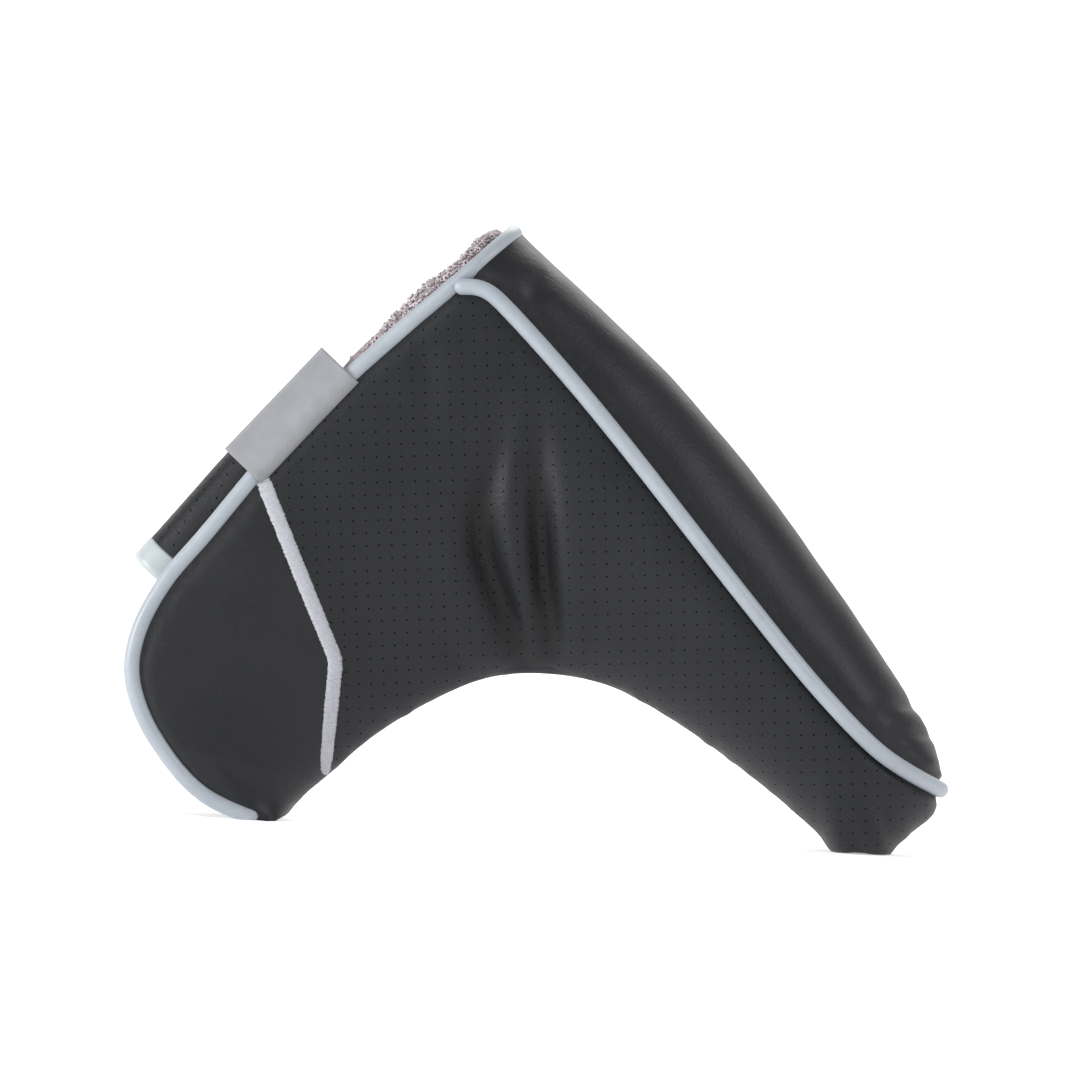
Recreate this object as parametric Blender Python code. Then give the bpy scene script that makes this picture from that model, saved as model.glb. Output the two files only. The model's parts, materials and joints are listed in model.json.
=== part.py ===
"""Putter head cover for a blade putter, a padded leather shell shaped like a boomerang.

The head lies in the right leg, sole up, and the shaft leaves down the left leg, the neck.
The cover stands on the ends of its two legs: +X points to the toe, +Z up, and the front faces -Y.
Its mouth runs down the heel edge, from the apex to the end of the neck. The front edge of the mouth
is a flap that folds open, and a tab from the back edge wraps round the heel and is held under it.

Sizes are millimetres, and build_mesh and build_tube turn them into metres.
The front and the back are one grid of points, mirrored: rows of stations from the toe along the sole
seam and down the mouth edge, each running inwards to the closed seam of the throat. Every layer is
that grid moved in along its normals, so the layers stay parallel whatever size is set.
"""

import math

import bmesh
import bpy
import numpy as np
from mathutils import Vector
from mathutils.bvhtree import BVHTree

MM = 0.001

# Overall size. The outlines below are drawn on a sheet of this length and height.
LENGTH = 172.0
HEIGHT = 126.0
DRAWN_LENGTH = 172.0
DRAWN_HEIGHT = 126.0
DRAWN_MIDDLE = -1.6

# Half thickness of the shell where the gusset is sewn on, and along the mouth.
TOE_HALF_WIDTH = 17.0
MIDDLE_HALF_WIDTH = 19.0
APEX_HALF_WIDTH = 17.0
MOUTH_HALF_WIDTH = 16.0
NECK_END_HALF_WIDTH = 13.0
PANEL_BULGE = 1.2
BULGE_STEP = 6.0
NOSE_LENGTH = 30.0
SEAM_ROUNDNESS = 2.2

# Layers, from outside in, and the running gap between any two pieces.
LEATHER = 1.2
FOAM = 2.0
LINING = 2.5
GAP = 0.3

# What lies lower than this on the ends of the legs is pressed flat on the ground.
FOOT_FLAT = 0.4

# Piping: a round bead along the sole seam and round the mouth.
BEAD_RADIUS = 1.7
SOLE_BEAD_LIFT = 1.0
MOUTH_BEAD_DEPTH = 1.0
BEAD_SEAT = BEAD_RADIUS + 2 * GAP
SOLE_BEAD_STOP = 2 * BEAD_RADIUS
LINING_PROUD = 3.0
SEAM_ALLOWANCE = 2.5

# Fold of the flap: where it starts on the mouth edge, and how far the fold lies outside the leather.
FLAP_START = 0.03
FOLD_CLEARANCE = 1.5
FOLD_SPAN = (0.03, 0.97)
FOLD_SAMPLES = 60
FOLD_SLOPES = (-4.0, 14.0, 37)

# Hook and loop closure and the wrap tab, measured along the mouth edge and out from it.
TAB_START = 0.185
TAB_END = 0.575
TAB_LEATHER = 1.2
TAB_LINING = 1.5
TAB_BULGE = 9.0
TAB_TUCK_TOP = 5.0
TAB_TUCK_FOOT = 18.0
TAB_CLEARANCE = 1.4
TAB_AXIS_OUT = 0.2
TRIM_WIDTH = 5.6
PATCH = 1.2
PATCH_MARGIN = 4.0
HOOK_START = 0.28
HOOK_END = 0.5

# Satin stitch band over the join of the perforated and the smooth leather.
BAND_WIDTH = 2.7
BAND_THICKNESS = 0.6
BAND_START = 0.365
BAND_HEM = 3.0

# Woven label folded over the mouth piping.
LABEL_START = 0.183
LABEL_LENGTH = 29.0
LABEL_REACH = 8.3
LABEL_THICKNESS = 0.5
LABEL_SEAT = BEAD_RADIUS + 0.6
LABEL_LEAN = 0.4
LABEL_STEPS = 4

# The label's outer fold: its middle behind the front leg, half its depth, its rounding and its inside.
LABEL_TURN = 2.6
LABEL_HALF_FOLD = 1.0
LABEL_ROUND = 0.6
LABEL_INSIDE = 0.3

# Outlines (x, z): the sole seam from the toe tip to the mouth, the ridge of the gusset beside it,
# the mouth edge from the sole seam to the end of the neck, and the seam from the toe to the neck.
SOLE_SEAM = [
    (82.0, 14.6), (76.3, 17.3), (68.6, 21.9), (55.8, 33.6), (38.5, 52.5), (11.3, 83.4),
    (-2.0, 97.6), (-13.9, 109.2), (-16.8, 111.6), (-19.5, 112.6), (-25.0, 112.2),
]
RIDGE = [
    (83.2, 16.6), (81.2, 22.8), (72.2, 37.1), (57.6, 56.2), (42.2, 75.2), (24.6, 94.1),
    (14.1, 103.7), (1.5, 114.2), (-6.0, 120.5), (-12.0, 125.6),
]
MOUTH_EDGE = [
    (-25.0, 112.2), (-34.5, 103.2), (-54.9, 82.0), (-72.6, 58.5), (-80.5, 48.0), (-85.3, 37.5),
    (-86.2, 29.0), (-83.2, 20.0), (-75.4, 9.2), (-69.0, 3.9), (-62.5, 1.2), (-56.5, -0.6),
]
THROAT_SEAM = [
    (82.3, 10.6), (81.6, 8.8), (79.2, 6.4), (75.6, 3.2), (71.4, -1.9), (67.5, -3.2), (63.2, -2.2),
    (57.5, 3.8), (41.7, 15.7), (25.5, 25.8), (12.7, 31.7), (0.1, 33.5), (-12.3, 32.1),
    (-24.4, 26.4), (-36.4, 18.0), (-45.5, 9.2), (-50.0, 5.0), (-52.8, 1.2),
]
SEAM_SHARE_OF_SOLE = 0.715
BAND_KINK = (-44.3, 34.0)
BAND_FOOT = (-45.4, 9.6)
FOLD_FOOT = (-53.0, 0.8)

# How finely each piece is divided, and the first station of each layer behind the toe tip.
SOLE_STATIONS = 17
HOOK_STATIONS = 4
HOOK_SHARE = 0.1
MOUTH_STATIONS = 18
ROWS = 5
GUSSET_ROWS = 6
NOSE_CROWDING = 1.3
NOSE_SKIP = 1
PADDING_SKIP = 4
GUSSET_PADDING_SKIP = 6
TOE_TURN_STEPS = 12
TAB_ROWS = 12
TAB_STEPS = 3
PATCH_ROWS = 4
BAND_STEPS = 9

LEATHER_BLACK = (0.023, 0.024, 0.028, 1.0)
PERFORATED_BLACK = (0.020, 0.021, 0.024, 1.0)
PIPING_GREY = (0.42, 0.45, 0.49, 1.0)
LABEL_GREY = (0.38, 0.39, 0.42, 1.0)
FLEECE_GREY = (0.30, 0.27, 0.28, 1.0)
FOAM_WHITE = (0.75, 0.74, 0.70, 1.0)
THREAD_GREY = (0.38, 0.38, 0.42, 1.0)
FASTENER_BLACK = (0.03, 0.03, 0.03, 1.0)


def clear_scene():
    for obj in list(bpy.data.objects):
        bpy.data.objects.remove(obj, do_unlink=True)


def material(name, colour, roughness):
    made = bpy.data.materials.new(name)
    made.use_nodes = True
    shader = made.node_tree.nodes["Principled BSDF"]
    shader.inputs["Base Color"].default_value = colour
    shader.inputs["Roughness"].default_value = roughness
    shader.inputs["Metallic"].default_value = 0.0
    return made


def drawn(points):
    """The outline's points at the set length and height, with the middle of the length at zero."""
    from_middle = np.array(points, float) - (DRAWN_MIDDLE, 0)
    return from_middle * (LENGTH / DRAWN_LENGTH, HEIGHT / DRAWN_HEIGHT)


def smooth_curve(points, fractions):
    """Points at these fractions of the length of a smooth curve through the given points."""
    points = np.asarray(points, float)
    ends = np.vstack([2 * points[0] - points[1], points, 2 * points[-1] - points[-2]])
    t = np.linspace(0, 1, 24, endpoint=False)[:, None]
    pieces = []
    for a, b, c, d in zip(ends, ends[1:], ends[2:], ends[3:]):
        ab, bc, cd = (max(np.linalg.norm(q - p), 1e-9) ** 0.5 for p, q in ((a, b), (b, c), (c, d)))
        leave = bc * ((b - a) / ab - (c - a) / (ab + bc) + (c - b) / bc)
        arrive = bc * ((c - b) / bc - (d - b) / (bc + cd) + (d - c) / cd)
        rise, turn = 3 * (c - b) - 2 * leave - arrive, 2 * (b - c) + leave + arrive
        pieces.append(b + leave * t + rise * t**2 + turn * t**3)
    dense = np.vstack(pieces + [points[-1:]])
    run = np.concatenate([[0], np.cumsum(np.linalg.norm(np.diff(dense, axis=0), axis=1))])
    at = np.asarray(fractions) * run[-1]
    return np.stack([np.interp(at, run, dense[:, k]) for k in range(dense.shape[1])], axis=-1)


def unit(vectors):
    return vectors / np.maximum(np.linalg.norm(vectors, axis=-1, keepdims=True), 1e-9)


def nose(distance):
    """Rounds the half width off to nothing at the toe tip."""
    left = 1 - np.clip(distance / NOSE_LENGTH, 0, 1)
    return np.sqrt(1 - left**2)


def sole_fractions():
    """Stations along the sole seam, closer together round the toe and in the hook at the apex."""
    straight = np.linspace(0, 1, SOLE_STATIONS - HOOK_STATIONS + 1) ** NOSE_CROWDING
    hook = np.linspace(1, 0, HOOK_STATIONS + 1)[1:] * HOOK_SHARE
    return np.concatenate([straight * (1 - HOOK_SHARE), 1 - hook])


def sole_half_width():
    """Half the width of the gusset at each station of the sole seam."""
    fractions = sole_fractions()
    seam = smooth_curve(drawn(SOLE_SEAM), fractions)
    steps = np.linalg.norm(np.diff(seam, axis=0), axis=1)
    distance = np.concatenate([[0], np.cumsum(steps)])
    widths = np.interp(fractions, (0, 0.45, 1), (TOE_HALF_WIDTH, MIDDLE_HALF_WIDTH, APEX_HALF_WIDTH))
    return widths * nose(distance)


def grid_normals(grid):
    """Unit normals of a grid of points, square to its stations and to its rows."""
    return unit(np.cross(np.gradient(grid, axis=0), np.gradient(grid, axis=1)))


def mouth_half_width(fractions):
    """Half the thickness of the shell along the mouth, from the apex to the end of the neck."""
    widths = (APEX_HALF_WIDTH, MOUTH_HALF_WIDTH, MOUTH_HALF_WIDTH, NECK_END_HALF_WIDTH)
    return np.interp(fractions, (0, 0.3, 0.8, 1), widths)


def front_grid():
    """(points, normals) of the front's outer surface, by station and by row from edge to seam."""
    sole = smooth_curve(drawn(SOLE_SEAM), sole_fractions())
    mouth_fractions = np.linspace(0, 1, MOUTH_STATIONS + 1)
    mouth = smooth_curve(drawn(MOUTH_EDGE), mouth_fractions)
    outer = np.vstack([sole, mouth[1:]])
    shares = np.concatenate(
        [
            sole_fractions() * SEAM_SHARE_OF_SOLE,
            SEAM_SHARE_OF_SOLE + (1 - SEAM_SHARE_OF_SOLE) * mouth_fractions[1:],
        ]
    )
    inner = smooth_curve(drawn(THROAT_SEAM), shares)
    width = np.concatenate([sole_half_width(), mouth_half_width(mouth_fractions[1:])])
    swell = nose(np.arange(SOLE_STATIONS + 1) * BULGE_STEP)
    bulge = PANEL_BULGE * np.concatenate([swell, np.zeros(MOUTH_STATIONS)])
    rows = np.sin(np.linspace(0, math.pi / 2, ROWS + 1))
    points = np.zeros((len(outer), ROWS + 1, 3))
    for j, v in enumerate(rows):
        flat = outer + (inner - outer) * v
        depth = (width + bulge * math.sin(math.pi * v)) * math.sqrt(max(0, 1 - v**SEAM_ROUNDNESS))
        points[:, j] = np.stack([flat[:, 0], -np.maximum(depth, GAP / 2), flat[:, 1]], axis=-1)
    points[:, :, 2] = np.where(points[:, :, 2] < FOOT_FLAT, 0, points[:, :, 2])
    normals = grid_normals(points)
    normals[:, -1, 1] = 0
    normals[: SOLE_STATIONS + 1, 0] = (0, -1, 0)
    return points, unit(normals)


def gusset_grid():
    """(points, normals) of the gusset's outer surface, by station and from its front to its back seam."""
    fractions = sole_fractions()
    sole = smooth_curve(drawn(SOLE_SEAM), fractions)
    ridge = smooth_curve(drawn(RIDGE), fractions)
    width = sole_half_width()
    points = np.zeros((len(sole), GUSSET_ROWS + 1, 3))
    for j, angle in enumerate(np.linspace(-math.pi / 2, math.pi / 2, GUSSET_ROWS + 1)):
        flat = sole + (ridge - sole) * math.cos(angle)
        points[:, j] = np.stack([flat[:, 0], width * math.sin(angle), flat[:, 1]], axis=-1)
    normals = -grid_normals(points)
    normals[:, 0] = (0, -1, 0)
    normals[:, -1] = (0, 1, 0)
    return points, normals


def move_edge(grid, edge, amount):
    """Moves one edge of a grid in along the surface by amount, square to the edge, or out if negative."""
    turned = [np.array(part) for part in grid]
    if edge in ("row_first", "row_last"):
        turned = [part.swapaxes(0, 1) for part in turned]
    if edge in ("last", "row_last"):
        turned = [part[::-1] for part in turned]
    points, normals = turned
    step, tangent = points[1] - points[0], unit(np.gradient(points[0], axis=0))
    square = step - tangent * (step * tangent).sum(axis=1, keepdims=True)
    share = np.minimum(amount / np.linalg.norm(square, axis=1), 0.9)[:, None]
    points[0] = points[0] + (points[1] - points[0]) * share
    normals[0] = normals[0] + (normals[1] - normals[0]) * np.maximum(share, 0)
    if edge in ("last", "row_last"):
        turned = [part[::-1] for part in turned]
    if edge in ("row_first", "row_last"):
        turned = [part.swapaxes(0, 1) for part in turned]
    return turned


def mirrored(grid):
    return [part * (1, -1, 1) for part in grid]


def face_out(mesh):
    """Turns the faces of a closed mesh outwards."""
    bmesh.ops.recalc_face_normals(mesh, faces=mesh.faces)
    if mesh.calc_volume(signed=True) < 0:
        bmesh.ops.reverse_faces(mesh, faces=mesh.faces)


def layer_mesh(grid, top, bottom, lowest=0.0, from_middle=0.0):
    """A closed mesh between two depths below the grid, with nothing below the lowest height.

    from_middle keeps a layer of the front or the back this far from the plane between them.
    """
    points, normals = grid
    mesh = bmesh.new()
    rows = points.shape[1]
    skins = []
    for depth in (top, bottom):
        flat = (points - normals * depth).reshape(-1, 3)
        flat[:, 2] = np.maximum(flat[:, 2], lowest)
        if from_middle:
            side = np.sign(points[..., 1]).reshape(-1)
            flat[:, 1] = side * np.maximum(side * flat[:, 1], from_middle)
        flat *= MM
        skins.append([mesh.verts.new(point) for point in flat])
    stations = range(points.shape[0] - 1)
    for skin in skins:
        for i in stations:
            for j in range(rows - 1):
                a, b = i * rows + j, (i + 1) * rows + j
                mesh.faces.new([skin[a], skin[b], skin[b + 1], skin[a + 1]])
    rim = list(range(rows))
    rim += [i * rows + rows - 1 for i in range(1, points.shape[0])]
    rim += [(points.shape[0] - 1) * rows + j for j in range(rows - 2, -1, -1)]
    rim += [i * rows for i in range(points.shape[0] - 2, 0, -1)]
    for a, b in zip(rim, rim[1:] + rim[:1]):
        mesh.faces.new([skins[0][a], skins[0][b], skins[1][b], skins[1][a]])
    bmesh.ops.triangulate(mesh, faces=mesh.faces, quad_method="FIXED")
    face_out(mesh)
    return mesh


def cut_away(mesh, point, normal):
    """Removes what lies on the normal's side of a plane, and closes the cut."""
    everything = mesh.verts[:] + mesh.edges[:] + mesh.faces[:]
    bmesh.ops.bisect_plane(
        mesh, geom=everything, dist=1e-7, plane_co=Vector(point) * MM, plane_no=Vector(normal), clear_outer=True
    )
    rim = [edge for edge in mesh.edges if edge.is_boundary]
    bmesh.ops.holes_fill(mesh, edges=rim, sides=0)
    bmesh.ops.triangulate(mesh, faces=[face for face in mesh.faces if len(face.verts) > 4])
    face_out(mesh)
    return mesh


def build_mesh(name, mesh, paint, parent):
    data = bpy.data.meshes.new(name)
    mesh.to_mesh(data)
    mesh.free()
    data.materials.append(paint)
    obj = bpy.data.objects.new(name, data)
    bpy.context.scene.collection.objects.link(obj)
    data.shade_smooth()
    data.set_sharp_from_angle(angle=math.radians(35))
    place_under(obj, parent)
    return obj


def build_tube(name, path, radius, paint, parent):
    """A round bead along a path, with flat ends."""
    curve = bpy.data.curves.new(name, "CURVE")
    curve.dimensions = "3D"
    curve.bevel_depth = radius * MM
    curve.bevel_resolution = 2
    curve.use_fill_caps = True
    spline = curve.splines.new("POLY")
    spline.points.add(len(path) - 1)
    for point, place in zip(spline.points, path):
        point.co = (*(place * MM), 1.0)
    curve.materials.append(paint)
    obj = bpy.data.objects.new(name, curve)
    bpy.context.scene.collection.objects.link(obj)
    place_under(obj, parent)
    return obj


def place_under(obj, parent):
    if parent is not None:
        obj.parent = parent
        obj.matrix_parent_inverse = parent.matrix_world.inverted()


def empty_on_axis(name, start, end):
    """An empty at the start of a joint axis, with its Z along the axis."""
    made = bpy.data.objects.new(name, None)
    bpy.context.scene.collection.objects.link(made)
    made.location = Vector(start) * MM
    made.rotation_euler = (Vector(end) - Vector(start)).to_track_quat("Z", "Y").to_euler()
    bpy.context.view_layer.update()
    return made


def ribbon(centre, normals, width, low, high):
    """A closed mesh of a narrow strip along a line on a surface, between two heights above it."""
    along = unit(np.gradient(centre, axis=0))
    side = unit(np.cross(normals, along))
    points = np.stack([centre - side * width / 2, centre + side * width / 2], axis=1)
    return layer_mesh((points, np.stack([normals, normals], axis=1)), -high, -low)


def surface_tree(grid):
    """A tree of the grid's triangles, to find the surface under a point of the outline."""
    mesh = layer_mesh(grid, 0, LEATHER)
    tree = BVHTree.FromBMesh(mesh)
    mesh.free()
    return tree


def on_front(tree, x, z):
    """The front's outer surface at (x, z), and its normal."""
    place, normal, _, _ = tree.ray_cast(Vector((x, -LENGTH, z)) * MM, Vector((0, 1, 0)))
    return np.array(place) / MM, np.array(normal)


def at_mouth(fraction):
    """A point of the mouth edge's outline."""
    return smooth_curve(drawn(MOUTH_EDGE), [fraction])[0]


def fold_line():
    """(start, foot) of the flap's fold in the outline: from the mouth edge to the end of the seam."""
    return at_mouth(FLAP_START), drawn([FOLD_FOOT])[0]


def fold_axis(tree):
    """Two points of the fold's axis, which touches the front's surface from outside."""
    start, foot = fold_line()
    run = np.linspace(*FOLD_SPAN, FOLD_SAMPLES)
    places = [on_front(tree, *(start + (foot - start) * t))[0] for t in run]
    depth = np.array([place[1] for place in places])
    best = None
    for slope in np.linspace(*FOLD_SLOPES):
        offset = (depth - slope * run).min()
        room = (offset + slope * run - depth).sum()
        if best is None or room > best[0]:
            best = (room, offset - FOLD_CLEARANCE, slope)
    ends = [(start, best[1]), (foot, best[1] + best[2])]
    return [np.array([flat[0], y, flat[1]]) for flat, y in ends]


def fold_plane(side):
    """(point, normal) of the fold's cut, half a gap to one side: +1 towards the toe, -1 on the flap."""
    start, foot = fold_line()
    run = unit(foot - start)
    towards_toe = np.array([-run[1], 0, run[0]])
    point = np.array([start[0], 0, start[1]]) + towards_toe * side * GAP / 2
    return point, towards_toe


def mouth_trims():
    """How far the leather, foam and lining stop inside the mouth edge, at each of its stations.

    Each leaves room for the bead, which ends at the last station but one. The lining stands out of
    the mouth above the label, and stops inside the edge beside the tab.
    """
    at = np.linspace(0, 1, MOUTH_STATIONS + 1)
    leather = np.where(at < 1, BEAD_SEAT, 0)
    foam = np.full(len(at), BEAD_SEAT)
    lining = np.interp(at, (0, 0.07, 0.12, TAB_START), (GAP, -LINING_PROUD, -LINING_PROUD, BEAD_SEAT))
    return {"leather": leather, "foam": foam, "lining": lining}


def panel_layers():
    """{layer: (grid, top, bottom)} of the front, which the back mirrors."""
    base = front_grid()
    layers = {}
    depth = 0
    for kind, thick in (("leather", LEATHER), ("foam", FOAM), ("lining", LINING)):
        skip = NOSE_SKIP if kind == "leather" else PADDING_SKIP
        seam_trim = BEAD_SEAT if kind == "leather" else GAP
        grid = [part[skip:] for part in base]
        trims = mouth_trims()[kind]
        edge = np.concatenate([np.full(len(grid[0]) - len(trims), seam_trim), trims])
        edge[0] += BEAD_RADIUS / 2
        grid = move_edge(grid, "row_first", edge)
        if kind != "leather":
            grid = move_edge([part[:-1, :-1] for part in grid], "last", depth)
        if kind == "lining":
            grid = move_edge(grid, "row_last", SEAM_ALLOWANCE)
        layers[kind] = (grid, depth, depth + thick)
        depth += thick + GAP
    return layers


def make_panels(paints, flap_pivot):
    """The front, cut along the fold, and the back: leather, foam and lining of each."""
    towards_toe, towards_flap = fold_plane(1), fold_plane(-1)
    for kind, (grid, top, bottom) in panel_layers().items():
        paint = paints["perforated" if kind == "leather" else kind]
        limits = (0 if kind == "leather" else top, GAP / 2)
        body = cut_away(layer_mesh(grid, top, bottom, *limits), towards_toe[0], -towards_toe[1])
        build_mesh(f"front_{kind}", body, paint, None)
        back = layer_mesh(mirrored(grid), top, bottom, *limits)
        build_mesh(f"back_{kind}", back, paint, None)
        flap = cut_away(layer_mesh(grid, top, bottom, *limits), towards_flap[0], towards_flap[1])
        if kind != "leather":
            build_mesh(f"flap_{kind}", flap, paint, flap_pivot)
            continue
        smooth = flap.copy()
        above, below = band_plane(1), band_plane(-1)
        build_mesh("flap_perforated_leather", cut_away(flap, above[0], -above[1]), paint, flap_pivot)
        build_mesh("flap_neck_leather", cut_away(smooth, below[0], below[1]), paints["leather"], flap_pivot)


def make_gusset(paints):
    base = gusset_grid()
    depth = 0
    for kind, thick in (("leather", LEATHER), ("foam", FOAM), ("lining", LINING)):
        seam_trim = BEAD_SEAT if kind == "leather" else GAP
        grid = [part[NOSE_SKIP if kind == "leather" else GUSSET_PADDING_SKIP :] for part in base]
        grid = move_edge(move_edge(grid, "row_first", seam_trim), "row_last", seam_trim)
        grid = move_edge(grid, "last", GAP if kind == "lining" else BEAD_SEAT)
        mesh = layer_mesh(grid, depth, depth + thick)
        build_mesh(f"gusset_{kind}", mesh, paints[kind], None)
        depth += thick + GAP


def mouth_path():
    """The mouth bead's axis in three runs: the front edge, the end of the gusset and the back edge."""
    points, normals = front_grid()
    front = (points - normals * MOUTH_BEAD_DEPTH)[SOLE_STATIONS:-1, 0]
    across, facing = gusset_grid()
    end = (across - facing * MOUTH_BEAD_DEPTH)[-1]
    back = front * (1, -1, 1)
    return front, end, back


def make_beads(paints, flap_pivot):
    """The sole bead, round the toe tip, and the mouth bead, parted where the flap folds."""
    points, normals = front_grid()
    front_run = (points + normals * SOLE_BEAD_LIFT)[1 : SOLE_STATIONS + 1, 0]
    tip = np.array([[points[0, 0, 0] + SOLE_BEAD_LIFT, 0, points[0, 0, 2] - SOLE_BEAD_LIFT / 2]])
    turn = np.vstack([front_run[2::-1], tip, front_run[:3] * (1, -1, 1)])
    turn = smooth_curve(turn, np.linspace(0, 1, TOE_TURN_STEPS + 1))
    run = shortened(front_run[3:], SOLE_BEAD_STOP)
    sole = np.vstack([run[::-1], turn, run * (1, -1, 1)])
    build_tube("sole_piping", sole, BEAD_RADIUS, paints["piping"], None)
    front, end, back = mouth_path()
    fold = fold_plane(0)
    beyond = (front - fold[0]) @ fold[1]
    last_fixed = int(np.argmax(beyond < 0))
    start = front[: last_fixed + 1]
    fixed = np.vstack([start[::-1], end[1:-1], back])
    cut = cut_point(front[last_fixed - 1], front[last_fixed], fold)
    fixed[0] = cut + unit(front[last_fixed - 1] - cut) * BEAD_RADIUS
    build_tube("mouth_piping", fixed, BEAD_RADIUS, paints["piping"], None)
    moving = front[last_fixed:]
    moving[0] = cut + unit(moving[1] - cut) * BEAD_RADIUS
    build_tube("flap_piping", moving, BEAD_RADIUS, paints["piping"], flap_pivot)


def shortened(path, amount):
    """A path without its last stretch of this length."""
    path = path.copy()
    while np.linalg.norm(path[-1] - path[-2]) <= amount:
        amount -= np.linalg.norm(path[-1] - path[-2])
        path = path[:-1]
    path[-1] += unit(path[-2] - path[-1]) * amount
    return path


def cut_point(start, end, plane):
    """Where the line from start to end meets a plane."""
    reach = (plane[0] - start) @ plane[1] / ((end - start) @ plane[1])
    return start + (end - start) * reach


def band_line():
    """(start, kink, foot) of the stitched band in the outline."""
    return at_mouth(BAND_START), drawn([BAND_KINK])[0], drawn([BAND_FOOT])[0]


def band_plane(side):
    """(point, normal) of the join under the upper band: +1 above it, -1 on the end of the neck."""
    start, kink, _ = band_line()
    run = unit(kink - start)
    upwards = np.array([-run[1], 0, run[0]])
    point = np.array([start[0], 0, start[1]]) + upwards * side * GAP / 2
    return point, upwards


def make_bands(paints, flap_pivot, tree):
    """The chevron: a run on the flap and a run on the body, mitred where they meet on the fold."""
    start, kink, foot = band_line()
    runs = {
        "flap_chevron_stitching": (start, kink, (BEAD_SEAT + GAP, -BAND_WIDTH / 2), -1, flap_pivot),
        "body_chevron_stitching": (kink, foot, (-BAND_WIDTH / 2, BAND_HEM), 1, None),
    }
    for name, (a, b, trims, side, parent) in runs.items():
        run = unit(b - a)
        steps = np.linspace(trims[0], np.linalg.norm(b - a) - trims[1], BAND_STEPS)
        hits = [on_front(tree, *(a + run * step)) for step in steps]
        centre, normals = (np.array(part) for part in zip(*hits))
        mesh = ribbon(centre, smoothed(normals), BAND_WIDTH, GAP, GAP + BAND_THICKNESS)
        point, normal = fold_plane(side)
        build_mesh(name, cut_away(mesh, point, -normal * side), paints["thread"], parent)


def smoothed(normals):
    """Normals along a line, each averaged with its neighbours."""
    wide = np.vstack([normals[:1], normals, normals[-1:]])
    return unit(wide[:-2] + 2 * wide[1:-1] + wide[2:])


def tab_frame():
    """(origin, along, out) of the wrap tab in the outline: on the mouth edge, down it, and out from it."""
    start, end = at_mouth(TAB_START), at_mouth(TAB_END)
    along = unit(end - start)
    return start, along, np.array([along[1], -along[0]])


def tab_length():
    return float(np.linalg.norm(at_mouth(TAB_END) - at_mouth(TAB_START)))


def tab_section(run):
    """(out, y) of the tab's outer surface, from its root behind the heel to its tip under the flap.

    The flap is narrower towards its upper end, and so is the part of the tab under it.
    """
    tuck = np.interp(run, (0, tab_length()), (TAB_TUCK_TOP, TAB_TUCK_FOOT))
    under = MOUTH_HALF_WIDTH - LEATHER - FOAM - LINING - 2 * GAP - 2 * (PATCH + GAP) - TAB_CLEARANCE
    root = MOUTH_HALF_WIDTH - MOUTH_BEAD_DEPTH - BEAD_SEAT
    return np.array(
        [
            (BEAD_SEAT, root), (TAB_BULGE * 0.75, root * 0.72), (TAB_BULGE, root * 0.2),
            (TAB_BULGE * 0.8, -under * 0.55), (TAB_BULGE * 0.35, -under * 0.93), (-2.0, -under),
            (-tuck, -under),
        ]
    )


def tab_grid(first, last, steps):
    """(points, normals) of the tab's outer surface between two distances down the mouth edge."""
    origin, along, out = tab_frame()
    points = np.zeros((steps + 1, TAB_ROWS + 1, 3))
    for i, run in enumerate(np.linspace(first, last, steps + 1)):
        section = smooth_curve(tab_section(run), np.linspace(0, 1, TAB_ROWS + 1))
        flat = origin + along * run + out * section[:, :1]
        points[i] = np.stack([flat[:, 0], section[:, 1], flat[:, 1]], axis=-1)
    normals = grid_normals(points)
    outwards = np.array([out[0], 0, out[1]])
    if (normals[0, TAB_ROWS // 3] @ outwards) < 0:
        normals = -normals
    return points, normals


def make_tab(paints, tab_pivot):
    """The tab's leather and lining, the trim on its lower end, and the loop patch on its tip."""
    length = tab_length()
    leather_end = length - TRIM_WIDTH
    grid = tab_grid(0, leather_end - GAP, TAB_STEPS)
    build_mesh("tab_leather", layer_mesh(grid, 0, TAB_LEATHER), paints["perforated"], tab_pivot)
    inner = TAB_LEATHER + GAP
    build_mesh("tab_lining", layer_mesh(grid, inner, inner + TAB_LINING), paints["lining"], tab_pivot)
    trim = tab_grid(leather_end, length, 1)
    build_mesh("tab_trim", layer_mesh(trim, -GAP, inner + TAB_LINING), paints["piping"], tab_pivot)
    patch = tab_grid(PATCH_MARGIN, leather_end - PATCH_MARGIN, TAB_STEPS)
    patch = [part[:, -PATCH_ROWS - 1 :] for part in patch]
    patch = move_edge(patch, "row_last", GAP)
    build_mesh("loop_patch", layer_mesh(patch, -GAP - PATCH, -GAP), paints["fastener"], tab_pivot)


def make_hook_patch(paints, flap_pivot):
    """The hook patch on the inside of the flap, over the loop patch."""
    first, last = (SOLE_STATIONS + round(at * MOUTH_STATIONS) for at in (HOOK_START, HOOK_END))
    grid = [part[first : last + 1, :2] for part in front_grid()]
    grid = move_edge(move_edge(grid, "row_first", PATCH_MARGIN), "row_last", GAP)
    top = LEATHER + FOAM + LINING + 3 * GAP
    build_mesh("hook_patch", layer_mesh(grid, top, top + PATCH), paints["fastener"], flap_pivot)


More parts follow.
